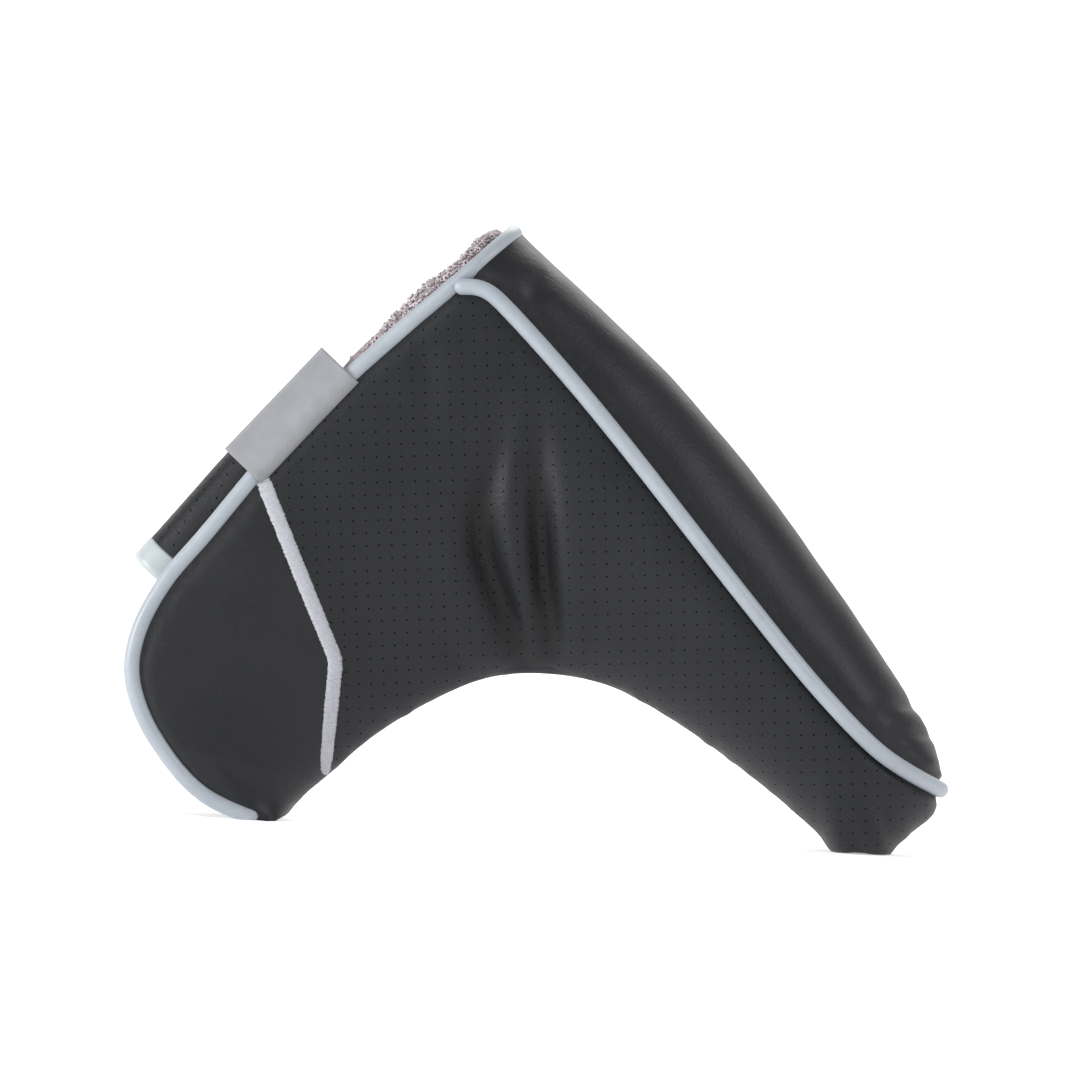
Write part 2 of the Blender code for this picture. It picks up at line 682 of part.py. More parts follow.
def label_section(half_width):
    """(out, y) round the folded label: a leg in front of the bead, a fold outside it, a leg behind."""
    front = -(half_width - MOUTH_BEAD_DEPTH + LABEL_SEAT)
    back = front + 2 * LABEL_SEAT - LABEL_LEAN
    fold, turn, thick = front + LABEL_TURN, LABEL_REACH - LABEL_ROUND, LABEL_THICKNESS
    return [
        (-BEAD_SEAT, front - thick), (BEAD_SEAT, front - thick), (turn, fold - LABEL_HALF_FOLD),
        (LABEL_REACH, fold), (turn, fold + LABEL_HALF_FOLD), (BEAD_SEAT + thick, back),
        (BEAD_SEAT + thick, back - thick), (turn - LABEL_ROUND, fold + LABEL_INSIDE),
        (turn - LABEL_ROUND, fold - LABEL_INSIDE), (BEAD_SEAT, front), (-BEAD_SEAT, front),
    ]


def make_label(paints, flap_pivot):
    """A strip folded over the flap's bead, which follows the bead's y from one end to the other."""
    mouth_length = np.linalg.norm(np.diff(mouth_path()[0], axis=0), axis=1).sum()
    start, share = at_mouth(LABEL_START), LABEL_LENGTH / mouth_length
    along = unit(at_mouth(LABEL_START + share) - start)
    out = np.array([along[1], -along[0]])
    mesh = bmesh.new()
    rings = []
    for step in np.linspace(0, 1, LABEL_STEPS + 1):
        middle = start + along * LABEL_LENGTH * step
        ring = []
        for reach, y in label_section(mouth_half_width(LABEL_START + share * step)):
            flat = middle + out * reach
            ring.append(mesh.verts.new(Vector((flat[0], y, flat[1])) * MM))
        rings.append(ring)
    for near, far in zip(rings, rings[1:]):
        for i, j in zip(range(len(near)), [*range(1, len(near)), 0]):
            mesh.faces.new([near[i], near[j], far[j], far[i]])
    mesh.faces.new(rings[0])
    mesh.faces.new(rings[-1][::-1])
    bmesh.ops.triangulate(mesh, faces=mesh.faces)
    face_out(mesh)
    build_mesh("woven_label", mesh, paints["label"], flap_pivot)


def main():
    clear_scene()
    paints = {
        "leather": material("smooth_leather", LEATHER_BLACK, 0.45),
        "perforated": material("perforated_leather", PERFORATED_BLACK, 0.5),
        "piping": material("piping_grey", PIPING_GREY, 0.4),
        "label": material("woven_label", LABEL_GREY, 0.85),
        "lining": material("fleece_lining", FLEECE_GREY, 0.95),
        "foam": material("foam_padding", FOAM_WHITE, 0.9),
        "thread": material("satin_thread", THREAD_GREY, 0.6),
        "fastener": material("hook_and_loop", FASTENER_BLACK, 0.9),
    }
    tree = surface_tree(front_grid())
    flap_axis = fold_axis(tree)
    flap_pivot = empty_on_axis("flap_fold_axis", *flap_axis)
    origin, along, out = tab_frame()
    root = origin + out * (BEAD_SEAT + TAB_AXIS_OUT)
    y = MOUTH_HALF_WIDTH - MOUTH_BEAD_DEPTH - BEAD_SEAT + GAP
    end = root + along * tab_length()
    tab_axis = [np.array([root[0], y, root[1]]), np.array([end[0], y, end[1]])]
    tab_pivot = empty_on_axis("tab_fold_axis", *tab_axis)
    for name, axis in (("flap fold", flap_axis), ("tab fold", tab_axis)):
        print(name, [np.round(point, 2).tolist() for point in axis], "mm")
    make_panels(paints, flap_pivot)
    make_gusset(paints)
    make_beads(paints, flap_pivot)
    make_bands(paints, flap_pivot, tree)
    make_tab(paints, tab_pivot)
    make_hook_patch(paints, flap_pivot)
    make_label(paints, flap_pivot)


main()
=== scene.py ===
# %% [markdown]
# # A padded leather cover for a blade putter
#
# The cover is a shell in the shape of a boomerang. Its front and back are perforated leather over
# foam and a fleece lining. A smooth leather gusset joins them along the sole, a vinyl piping bead
# finishes each seam, and a flap and a wrap tab close the mouth. The lesson builds each piece on
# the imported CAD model, which says where every body is and how it moves.

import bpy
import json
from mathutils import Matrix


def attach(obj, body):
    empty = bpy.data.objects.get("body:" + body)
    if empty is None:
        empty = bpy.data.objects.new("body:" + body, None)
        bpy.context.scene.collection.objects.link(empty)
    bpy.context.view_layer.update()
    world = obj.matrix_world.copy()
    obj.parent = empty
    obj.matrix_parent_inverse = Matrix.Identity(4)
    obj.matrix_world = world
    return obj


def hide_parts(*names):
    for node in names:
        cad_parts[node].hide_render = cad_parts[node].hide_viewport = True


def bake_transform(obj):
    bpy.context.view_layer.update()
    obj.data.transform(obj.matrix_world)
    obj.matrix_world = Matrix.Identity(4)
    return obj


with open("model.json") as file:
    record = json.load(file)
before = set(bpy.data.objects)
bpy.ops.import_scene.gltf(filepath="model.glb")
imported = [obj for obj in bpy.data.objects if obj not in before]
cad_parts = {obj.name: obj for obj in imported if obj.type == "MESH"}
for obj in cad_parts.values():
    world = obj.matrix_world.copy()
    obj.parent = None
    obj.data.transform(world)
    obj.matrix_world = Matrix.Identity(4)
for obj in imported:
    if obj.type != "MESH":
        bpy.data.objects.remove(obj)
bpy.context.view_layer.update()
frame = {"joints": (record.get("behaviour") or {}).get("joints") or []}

# %% [markdown]
# Blender measures in metres, and sewing is thought about in millimetres. All shapes below are
# worked out in millimetres with numpy and turned into metres when a mesh is made. One helper makes
# every mesh, so that each piece ends at the origin with its place in its own points.

# %% Tools for meshes
import json
import math

import bmesh
import bpy
import numpy as np
from mathutils import Matrix, Vector

MM = 0.001
scene = bpy.context.scene


def make_piece(name, points, faces, finish, uv=None):
    """A mesh object from points in millimetres and faces, with a UV point for each if given."""
    data = bpy.data.meshes.new(name)
    data.from_pydata((np.asarray(points, float) * MM).tolist(), [], faces)
    if uv is not None:
        layer = data.uv_layers.new(name="run").data
        index = np.zeros(len(data.loops), int)
        data.loops.foreach_get("vertex_index", index)
        layer.foreach_set("uv", np.asarray(uv, float)[index].ravel())
    data.materials.append(finish)
    data.shade_smooth()
    made = bpy.data.objects.new(name, data)
    scene.collection.objects.link(made)
    return made


def unit(vectors):
    return vectors / np.maximum(np.linalg.norm(vectors, axis=-1, keepdims=True), 1e-9)


print("one unit of work:", MM, "metres")

# %% [markdown]
# ## The camera
#
# The camera stands far away with a long lens, so that both legs keep their true lengths. It looks
# square at the front and is rolled three degrees, since a soft cover on two legs doesn't stand
# quite level.

# %% Camera
VIEW_WIDTH = 224.1
CAMERA_DISTANCE = 1400.0
VIEW_CENTRE = np.array([-2.0, -8.0, 61.3])
ROLL = math.radians(3.34)

camera = bpy.data.objects.new("camera", bpy.data.cameras.new("camera"))
scene.collection.objects.link(camera)
camera.data.sensor_width = 36.0
camera.data.lens = camera.data.sensor_width * CAMERA_DISTANCE / VIEW_WIDTH
camera.data.clip_end = 10.0
across = Vector((math.cos(ROLL), 0, math.sin(ROLL)))
upwards = Vector((-math.sin(ROLL), 0, math.cos(ROLL)))
turn = Matrix((across, upwards, (0, -1, 0))).transposed().to_4x4()
eye = Vector(VIEW_CENTRE - (0, CAMERA_DISTANCE, 0)) * MM
camera.matrix_world = Matrix.Translation(eye) @ turn
scene.camera = camera
print("lens:", round(camera.data.lens), "mm")

# %% [markdown]
# ## Floor and light
#
# The floor is a plain pale sheet that curves up behind the object, so no horizon shows from the
# front. Leather and vinyl are read by what they reflect: large soft lights give long quiet
# highlights, where small lights would give hard spots.

# %% Floor, lights and the colour of the surroundings
FLOOR_SIDE = 3000.0
BEND_RADIUS = 500.0


def pale_finish():
    made = bpy.data.materials.new("pale_paper")
    made.use_nodes = True
    shader = made.node_tree.nodes["Principled BSDF"]
    shader.inputs["Base Color"].default_value = (0.93, 0.93, 0.93, 1.0)
    shader.inputs["Roughness"].default_value = 0.9
    shader.inputs["Specular IOR Level"].default_value = 0.1
    shader.inputs["Emission Color"].default_value = (1.0, 1.0, 1.0, 1.0)
    shader.inputs["Emission Strength"].default_value = 0.42
    return made


def studio_floor():
    """A floor that bends up into a wall behind the object."""
    turns = np.linspace(0, math.pi / 2, 17)
    back = FLOOR_SIDE / 2
    bend = [
        (back - BEND_RADIUS * (1 - math.sin(t)), BEND_RADIUS * (1 - math.cos(t))) for t in turns
    ]
    section = [(-back, 0.0), *bend, (back, FLOOR_SIDE / 2)]
    points = [(side * FLOOR_SIDE, y, z) for y, z in section for side in (-1, 1)]
    faces = [(2 * i, 2 * i + 1, 2 * i + 3, 2 * i + 2) for i in range(len(section) - 1)]
    return make_piece("studio_floor", points, faces, pale_finish())


def soft_light(name, place, target, side, watts):
    made = bpy.data.objects.new(name, bpy.data.lights.new(name, "AREA"))
    scene.collection.objects.link(made)
    made.data.shape = "SQUARE"
    made.data.size = side * MM
    made.data.energy = watts
    aim = (Vector(target) - Vector(place)).to_track_quat("-Z", "Y").to_matrix().to_4x4()
    made.matrix_world = Matrix.Translation(Vector(place) * MM) @ aim


studio_floor()
soft_light("key_light", (-500, -950, 900), (0, 0, 60), 700, 5)
soft_light("heel_light", (-950, -380, 260), (-40, 0, 60), 420, 8)
soft_light("side_light", (900, -500, 600), (20, 0, 60), 500, 4)
soft_light("back_light", (200, 900, 900), (0, 0, 60), 700, 5)
world = bpy.data.worlds.new("studio")
world.use_nodes = True
world.node_tree.nodes["Background"].inputs["Color"].default_value = (1.0, 1.0, 1.0, 1.0)
world.node_tree.nodes["Background"].inputs["Strength"].default_value = 0.42
scene.world = world
scene.view_settings.view_transform = "Standard"
print("floor side:", FLOOR_SIDE, "mm")

# %% [markdown]
# ## A small language for node trees
#
# Materials and Geometry Nodes are both graphs. Wiring them by hand takes many lines, so a small
# class wraps a socket: adding or multiplying two wrapped sockets adds the Math node that does it.
# Any other node comes from one method, `add`, which takes its type, its settings and its inputs.

# %% The wire and the graph
class Wire:
    """An output socket that can be used in sums."""

    def __init__(self, graph, socket):
        self.graph, self.socket = graph, socket

    def out(self, name):
        return Wire(self.graph, self.socket.node.outputs[name])

    def sums(self, operation, *others):
        """What a Math node makes of this value and the others."""
        inputs = dict(enumerate((self, *others)))
        return self.graph.add("ShaderNodeMath", {"operation": operation}, inputs)

    def __add__(self, other):
        return self.sums("ADD", other)

    def __sub__(self, other):
        return self.sums("SUBTRACT", other)

    def __rsub__(self, other):
        return self * -1.0 + other

    def __mul__(self, other):
        return self.sums("MULTIPLY", other)

    __radd__, __rmul__ = __add__, __mul__

    def to(self, low, high):
        """The value, which runs from 0 to 1, spread from low to high."""
        return self * (high - low) + low

    def above(self, edge, softness):
        """0 below an edge and 1 above it, with a soft step."""
        inputs = {"Value": self, "From Min": edge - softness, "From Max": edge + softness}
        return self.graph.add("ShaderNodeMapRange", {"interpolation_type": "SMOOTHSTEP"}, inputs)


class Graph:
    """The nodes of a material or of a geometry tree."""

    def __init__(self, tree):
        self.tree = tree

    def add(self, kind, settings=None, inputs=None, output=0):
        made = self.tree.nodes.new(kind)
        for name, value in (settings or {}).items():
            setattr(made, name, value)
        for name, value in (inputs or {}).items():
            if isinstance(value, Wire):
                self.tree.links.new(value.socket, made.inputs[name])
            else:
                made.inputs[name].default_value = value
        return Wire(self, made.outputs[output]) if made.outputs else made

    def mix(self, low, high, share):
        """A colour between two colours."""
        inputs = {"Factor": share, "A": low, "B": high}
        return self.add("ShaderNodeMix", {"data_type": "RGBA"}, inputs, "Result")


class Finish(Graph):
    """A material with one Principled shader, whose fixed values are set on its own sockets."""

    def __init__(self, name, **fixed):
        self.material = bpy.data.materials.new(name)
        self.material.use_nodes = True
        super().__init__(self.material.node_tree)
        self.shader = self.tree.nodes["Principled BSDF"]
        for socket, value in fixed.items():
            self.shader.inputs[socket.replace("_", " ")].default_value = value
        self.place = self.add("ShaderNodeTexCoord", output="Object")

    def noise(self, size, detail=3.0, place=None):
        """Noise from 0 to 1 with patches of about this size in millimetres."""
        inputs = {"Vector": place or self.place, "Scale": 1 / (size * MM), "Detail": detail}
        return self.add("ShaderNodeTexNoise", None, inputs)

    def cells(self, size, feature="F1", place=None):
        """Distance inside the cells of a Voronoi pattern of this size in millimetres."""
        inputs = {"Vector": place or self.place, "Scale": 1 / (size * MM)}
        return self.add("ShaderNodeTexVoronoi", {"feature": feature}, inputs, "Distance")

    def feed(self, socket, wire):
        self.tree.links.new(wire.socket, self.shader.inputs[socket])

    def bump(self, height, depth, strength=1.0):
        """Feeds a height, from 0 to 1, to the normal, for a relief this deep in millimetres."""
        inputs = {"Height": height, "Distance": depth * MM, "Strength": strength}
        self.feed("Normal", self.add("ShaderNodeBump", None, inputs))


print("graph tools ready")

# %% [markdown]
# ## Leather
#
# Split leather with a coated grain shows three scales: pebbles about half a millimetre wide, finer
# pores between them, and wide soft patches where the hide takes the dye differently. The pebbles
# are a Voronoi pattern bent by noise. They make the relief and lighten the colour a little. The
# gloss follows the patches.
# Near a seam the coat is rubbed. The bottom of a deep fold is darkened as painted shade. The meshes
# tell the material where, in one attribute for the wear and one for the painted fold shade.

# %% Leather finishes
def leather(name, dark, light, pebble, roughness):
    made = Finish(name, Specular_IOR_Level=0.27, Sheen_Weight=0.015, Sheen_Roughness=0.45)
    bent = made.add(
        "ShaderNodeVectorMath",
        {"operation": "MULTIPLY_ADD"},
        {0: made.noise(2.5, 2.0).out("Color"), 1: (0.0005, 0.0005, 0.0005), 2: made.place},
    )
    pebbles = made.cells(pebble, "SMOOTH_F1", bent)
    pores = made.noise(0.16, 2.0)
    patches = made.noise(16.0, 4.0)
    wear = made.add("ShaderNodeAttribute", {"attribute_name": "wear"}, output="Fac")
    rubbed = wear * made.noise(1.2, 3.0).above(0.5, 0.16)
    crease = made.add("ShaderNodeAttribute", {"attribute_name": "crease"}, output="Fac")
    tone = made.mix(dark, light, patches * 0.5 + rubbed * 0.4 + wear * 0.2 + pebbles * 0.12)
    # Painted shade: deep in a fold the colour is pulled towards near-black.
    tone = made.mix(tone, (0.0022, 0.0024, 0.003, 1), crease * 0.8)
    made.feed("Base Color", tone)
    gloss = patches.to(roughness - 0.05, roughness + 0.07)
    made.feed("Roughness", gloss + rubbed * 0.10 + pores * 0.06)
    made.bump(pebbles * 0.72 + pores * 0.28, 0.11, 0.75)
    return made.material


PERFORATED = leather(
    "perforated_leather", (0.0062, 0.0068, 0.0085, 1), (0.0185, 0.0195, 0.0225, 1), 0.62, 0.42
)
SMOOTH = leather(
    "smooth_leather", (0.0066, 0.0072, 0.0088, 1), (0.021, 0.0215, 0.025, 1), 0.75, 0.39
)
print("leather finishes:", PERFORATED.name, SMOOTH.name)

# %% [markdown]
# ## Piping, label, thread and fleece
#
# The bead is coated vinyl, smoother than leather, with a faint grain and soft dust. The label is a
# woven satin ribbon: warp and weft are two crossed waves on the ribbon's own UV map. Satin thread
# shines along its length. Fleece has no gloss at all, so its look comes from its curls and from two
# tones mixed in clumps.

# %% Vinyl
def vinyl(name, shade, bright):
    made = Finish(name, Specular_IOR_Level=0.5, Coat_Roughness=0.3)
    dust = made.noise(9.0, 5.0)
    streaks = made.noise(1.4, 2.0)
    made.feed("Base Color", made.mix(shade, bright, dust * 0.6 + streaks * 0.35))
    made.feed("Roughness", dust.to(0.30, 0.46))
    made.bump(made.cells(0.5, "SMOOTH_F1") * 0.5 + made.noise(0.22) * 0.5, 0.03, 0.4)
    return made.material


PIPING = vinyl("piping_vinyl", (0.25, 0.28, 0.315, 1), (0.385, 0.42, 0.465, 1))
TRIM = vinyl("trim_vinyl", (0.32, 0.355, 0.375, 1), (0.46, 0.50, 0.525, 1))

print("vinyl:", PIPING.name, TRIM.name)

# %% Woven ribbon
THREADS_PER_MM = 4.2


def woven_ribbon():
    made = Finish("woven_label", Roughness=0.62, Sheen_Weight=0.25, Sheen_Roughness=0.4)
    run = made.add("ShaderNodeUVMap", {"uv_map": "run"})
    parts = made.add("ShaderNodeSeparateXYZ", None, {0: run})
    along, over = parts.out("X"), parts.out("Y")
    turns = 2 * math.pi * THREADS_PER_MM
    warp = (along * turns).sums("SINE").to(0.5, 1.0)
    weft = (over * turns * 0.5 + along * turns * 0.5).sums("SINE").to(0.5, 1.0)
    ribs = warp * weft
    tone = made.noise(3.0, 3.0) * 0.45 + ribs * 0.5
    made.feed("Base Color", made.mix((0.19, 0.195, 0.212, 1), (0.345, 0.35, 0.37, 1), tone))
    made.bump(ribs, 0.05, 0.8)
    return made.material


LABEL = woven_ribbon()

print("ribbon:", LABEL.name)

# %% Thread, fleece, foam and fasteners
def fibre(name, dark, light, clump, **fixed):
    """A matt fibre whose colour runs from dark to light in clumps."""
    made = Finish(name, **fixed)
    clumps = made.noise(clump, 4.0)
    made.feed("Base Color", made.mix(dark, light, clumps.above(0.5, 0.22)))
    made.feed("Roughness", clumps.to(0.7, 0.95))
    strands = made.noise(clump * 0.12, 3.0) * 0.6 + made.cells(clump * 0.2) * 0.4
    made.bump(strands, clump * 0.06, 0.8)
    return made.material


def satin():
    made = Finish("satin_thread", Anisotropic=0.6, Specular_IOR_Level=0.6)
    tone = made.mix((0.30, 0.30, 0.335, 1), (0.50, 0.50, 0.545, 1), made.noise(0.6, 3.0))
    made.feed("Base Color", tone)
    made.feed("Roughness", made.noise(0.8, 2.0).to(0.32, 0.5))
    made.bump(made.noise(0.09, 2.0), 0.02, 0.7)
    return made.material


THREAD = satin()
FLEECE = fibre("fleece", (0.33, 0.285, 0.30, 1), (0.60, 0.54, 0.56, 1), 2.2, Sheen_Weight=0.25)
BACKING = fibre(
    "fleece_backing", (0.20, 0.17, 0.182, 1), (0.36, 0.32, 0.335, 1), 1.6, Sheen_Weight=0.2
)
FOAM = fibre("foam", (0.52, 0.50, 0.44, 1), (0.78, 0.76, 0.69, 1), 1.0)
NYLON = fibre(
    "hook_and_loop", (0.012, 0.012, 0.013, 1), (0.045, 0.045, 0.048, 1), 1.2, Sheen_Weight=0.15
)
# Painted shade: near-black matt cups that stand for the shade inside the punched holes.
HOLE_SHADE = fibre(
    "punched_hole", (0.003, 0.003, 0.0035, 1), (0.006, 0.006, 0.007, 1), 0.5, Specular_IOR_Level=0.0
)
print("finishes:", len(bpy.data.materials))

# %% [markdown]
# ## The pattern of the cover
#
# A sewn shell is ruled by its seams. The seams are drawn as smooth curves in the front view: the
# sole seam, the ridge of the gusset beside it, the edge of the mouth, and the closed seam in the
# hollow between the legs. Every surface is then a grid of points between two curves, with a depth
# that follows a round section. These are the curves that the CAD model is built on, here with many
# more points, so that highlights run over the leather without facets.

# %% Seam curves
DRAWN_MIDDLE = -1.6
SOLE_SEAM = [
    (82.0, 14.6), (76.3, 17.3), (68.6, 21.9), (55.8, 33.6), (38.5, 52.5), (11.3, 83.4),
    (-2.0, 97.6), (-13.9, 109.2), (-16.8, 111.6), (-19.5, 112.6), (-25.0, 112.2),
]
RIDGE = [
    (83.2, 16.6), (81.2, 22.8), (72.2, 37.1), (57.6, 56.2), (42.2, 75.2), (24.6, 94.1),
    (14.1, 103.7), (1.5, 114.2), (-6.0, 120.5), (-12.0, 125.6),
]
MOUTH_EDGE = [
    (-25.0, 112.2), (-34.5, 103.2), (-54.9, 82.0), (-72.6, 58.5), (-80.5, 48.0), (-85.3, 37.5),
    (-86.2, 29.0), (-83.2, 20.0), (-75.4, 9.2), (-69.0, 3.9), (-62.5, 1.2), (-56.5, -0.6),
]
THROAT_SEAM = [
    (82.3, 10.6), (81.6, 8.8), (79.2, 6.4), (75.6, 3.2), (71.4, -1.9), (67.5, -3.2), (63.2, -2.2),
    (57.5, 3.8), (41.7, 15.7), (25.5, 25.8), (12.7, 31.7), (0.1, 33.5), (-12.3, 32.1),
    (-24.4, 26.4), (-36.4, 18.0), (-45.5, 9.2), (-50.0, 5.0), (-52.8, 1.2),
]
SEAM_SHARE_OF_SOLE = 0.715


def drawn(points):
    """Points of an outline with the middle of the object's length at zero."""
    return np.array(points, float) - (DRAWN_MIDDLE, 0)


def distance_along(path):
    """How far along a path each of its points lies."""
    steps = np.linalg.norm(np.diff(path, axis=0), axis=1)
    return np.concatenate([[0], np.cumsum(steps)])


def along_path(path, run, at):
    """Points of a path at these distances, where run says how far along its own points lie."""
    return np.stack([np.interp(at, run, path[:, k]) for k in range(path.shape[1])], axis=-1)


def smooth_curve(points, fractions):
    """Points at these fractions of the length of a smooth curve through the given points."""
    points = np.asarray(points, float)
    ends = np.vstack([2 * points[0] - points[1], points, 2 * points[-1] - points[-2]])
    t = np.linspace(0, 1, 24, endpoint=False)[:, None]
    pieces = []
    for a, b, c, d in zip(ends, ends[1:], ends[2:], ends[3:]):
        ab, bc, cd = (max(np.linalg.norm(q - p), 1e-9) ** 0.5 for p, q in ((a, b), (b, c), (c, d)))
        leave = bc * ((b - a) / ab - (c - a) / (ab + bc) + (c - b) / bc)
        arrive = bc * ((c - b) / bc - (d - b) / (bc + cd) + (d - c) / cd)
        rise, bend = 3 * (c - b) - 2 * leave - arrive, 2 * (b - c) + leave + arrive
        pieces.append(b + leave * t + rise * t**2 + bend * t**3)
    dense = np.vstack(pieces + [points[-1:]])
    run = distance_along(dense)
    return along_path(dense, run, np.asarray(fractions) * run[-1])


print("drawn points:", [len(line) for line in (SOLE_SEAM, RIDGE, MOUTH_EDGE, THROAT_SEAM)])

# %% Half widths of the shell
TOE_HALF_WIDTH, MIDDLE_HALF_WIDTH, APEX_HALF_WIDTH = 17.0, 19.0, 17.0
MOUTH_HALF_WIDTH, NECK_END_HALF_WIDTH = 16.0, 13.0
NOSE_LENGTH = 30.0
PANEL_BULGE = 1.2
SEAM_ROUNDNESS = 2.2
SOLE_STEPS, HOOK_STEPS, MOUTH_STEPS = 150, 14, 120
HOOK_SHARE = 0.1
CORNER = SOLE_STEPS + HOOK_STEPS
TOE_CROWDING = 1.3
WIDEST_AT = 0.45


def sole_fractions():
    """Stations along the sole seam, closer together round the toe and in the hook at the apex."""
    straight = np.linspace(0, 1, SOLE_STEPS + 1) ** TOE_CROWDING
    hook = np.linspace(1, 0, HOOK_STEPS + 1)[1:] * HOOK_SHARE
    return np.concatenate([straight * (1 - HOOK_SHARE), 1 - hook])


def ramp(value, reach):
    """0 up to zero, 1 from the reach on, and a straight rise between."""
    return np.clip(value / reach, 0, 1)


def nose(distance):
    """Rounds a width off to nothing at the toe tip."""
    left = 1 - ramp(distance, NOSE_LENGTH)
    return np.sqrt(1 - left**2)


def sole_half_width():
    at, dense = sole_fractions(), np.linspace(0, 1, 200)
    knots = [(0, TOE_HALF_WIDTH), (WIDEST_AT, MIDDLE_HALF_WIDTH), (1, APEX_HALF_WIDTH)]
    widths = np.interp(at, dense, smooth_curve(knots, dense)[:, 1])
    return widths * nose(distance_along(smooth_curve(drawn(SOLE_SEAM), at)))


print("sole stations:", len(sole_fractions()))

# %% [markdown]
# A grid of the front has one station for each step along the outer edge, first the sole seam and
# then the mouth, and rows that run from there to the closed seam. The rows crowd near that seam,
# where the section turns fastest. The gusset's grid runs from its front seam over the ridge.

# %% Grids of points
ROWS = 64
GUSSET_ROWS = 44
MOUTH_WIDTH_AT = (0, 0.3, 0.8, 1)


def grid_normals(grid):
    return unit(np.cross(np.gradient(grid, axis=0), np.gradient(grid, axis=1)))


def front_grid():
    """(points, normals) of the front's outer surface, by station and by row from edge to seam."""
    sole_at, mouth_at = sole_fractions(), np.linspace(0, 1, MOUTH_STEPS + 1)
    mouth = smooth_curve(drawn(MOUTH_EDGE), mouth_at)
    outer = np.vstack([smooth_curve(drawn(SOLE_SEAM), sole_at), mouth[1:]])
    seam_at = SEAM_SHARE_OF_SOLE + (1 - SEAM_SHARE_OF_SOLE) * mouth_at[1:]
    seam_at = np.concatenate([sole_at * SEAM_SHARE_OF_SOLE, seam_at])
    inner = smooth_curve(drawn(THROAT_SEAM), seam_at)
    widths = (APEX_HALF_WIDTH, MOUTH_HALF_WIDTH, MOUTH_HALF_WIDTH, NECK_END_HALF_WIDTH)
    mouth_width = np.interp(mouth_at[1:], MOUTH_WIDTH_AT, widths)
    width = np.concatenate([sole_half_width(), mouth_width])
    to_middle = np.linspace(0, 1, SOLE_STEPS + 1)
    reach = np.concatenate([to_middle, np.linspace(1, 0, HOOK_STEPS + MOUTH_STEPS)])
    bulge = PANEL_BULGE * np.sin(np.clip(reach * 3, 0, 1) * math.pi / 2)
    v = np.sin(np.linspace(0, math.pi / 2, ROWS + 1))
    flat = outer[:, None] + (inner - outer)[:, None] * v[:, None]
    section = np.sqrt(np.maximum(0, 1 - v**SEAM_ROUNDNESS))
    depth = (width[:, None] + bulge[:, None] * np.sin(math.pi * v)) * section
    points = np.stack([flat[..., 0], -depth, np.maximum(flat[..., 1], 0)], axis=-1)
    return points, front_normals(points)


def front_normals(points):
    normals = grid_normals(points)
    normals[:, -1, 1] = 0
    normals[: CORNER + 1, 0] = (0, -1, 0)
    normals[0, :] = unit(normals[1, :] + (0.6, 0, 0))
    return unit(normals)


def gusset_grid():
    """(points, normals) of the gusset's outer surface, by station and from front to back seam."""
    sole = smooth_curve(drawn(SOLE_SEAM), sole_fractions())[:, None]
    ridge = smooth_curve(drawn(RIDGE), sole_fractions())[:, None]
    angle = np.linspace(-math.pi / 2, math.pi / 2, GUSSET_ROWS + 1)
    flat = sole + (ridge - sole) * np.cos(angle)[:, None]
    y = sole_half_width()[:, None] * np.sin(angle)
    points = np.stack([flat[..., 0], y, flat[..., 1]], axis=-1)
    return points, gusset_normals(points)


def gusset_normals(points):
    normals = -grid_normals(points)
    normals[0] = normals[1]
    return unit(normals)


FRONT, GUSSET = front_grid(), gusset_grid()
print("front grid:", FRONT[0].shape[:2], "gusset grid:", GUSSET[0].shape[:2])

# %% [markdown]
# ## Folds and puckers
#
# Nothing sewn from leather is smooth. The hollow seam between the legs is shorter than the panel
# that it holds, so the panel stands in two deep folds above it, with small puckers all along the
# seam. The gusset puckers where it turns round the toe. Each fold is a path with a depth at each of
# its points, and a point of the grid sinks by how near it is to the path. This gives folds exactly
# where they belong, which a cloth simulation of the whole shell would not. In the lists below a
# fold is its width and its path, a row of (x, z, depth), and a negative depth raises a ridge.

# %% Sinking a grid along paths
FRONT_FOLDS = [
    (3.6, [
        (-10.4, 92, 0.0), (-11.6, 82, 1.0), (-14.6, 67, 2.6), (-12.9, 56, 3.5), (-8.6, 46, 3.4),
        (-4.4, 36, 1.8),
    ]),
    (3.0, [
        (-4.6, 91, 0.0), (-3.9, 82, 1.1), (-2.8, 68, 2.8), (-0.9, 53, 3.5), (0.9, 42, 2.6),
        (1.9, 34, 1.0),
    ]),
    (3.4, [(-8.0, 94, 0.0), (-8.6, 72, -0.5), (-6.7, 56, -0.9), (-3.9, 46, -0.6), (-1.6, 36, 0.0)]),
    (5.0, [(-22.0, 66, 0.0), (-19.5, 54, -0.5), (-14.0, 42, -0.5), (-9.0, 35, 0.0)]),
    (5.5, [(6.5, 84, 0.0), (6.0, 66, -0.7), (6.5, 50, -0.6), (7.5, 37, 0.0)]),
    (2.0, [(-23.0, 43, 0.0), (-18.0, 36, 0.45), (-14.5, 31.5, 0.5)]),
    (1.8, [(12.0, 47, 0.0), (10.0, 39, 0.4), (9.4, 33, 0.4)]),
    (3.0, [(-30.0, 104, 0.0), (-27.0, 92, 0.5), (-29.0, 80, 0.0)]),
    (2.2, [(70.5, 14, 0.0), (72.6, 8, 0.6), (75.0, 3, 0.5)]),
    (2.0, [(63.5, 9, 0.0), (66.0, 4, 0.5), (68.0, 0, 0.4)]),
    (1.6, [(-66.5, 15, 0.0), (-62.0, 9, 0.5), (-57.0, 5.5, 0.2)]),
    (1.6, [(-70.0, 11, 0.0), (-65.0, 5.5, 0.45), (-60.0, 3.0, 0.2)]),
]
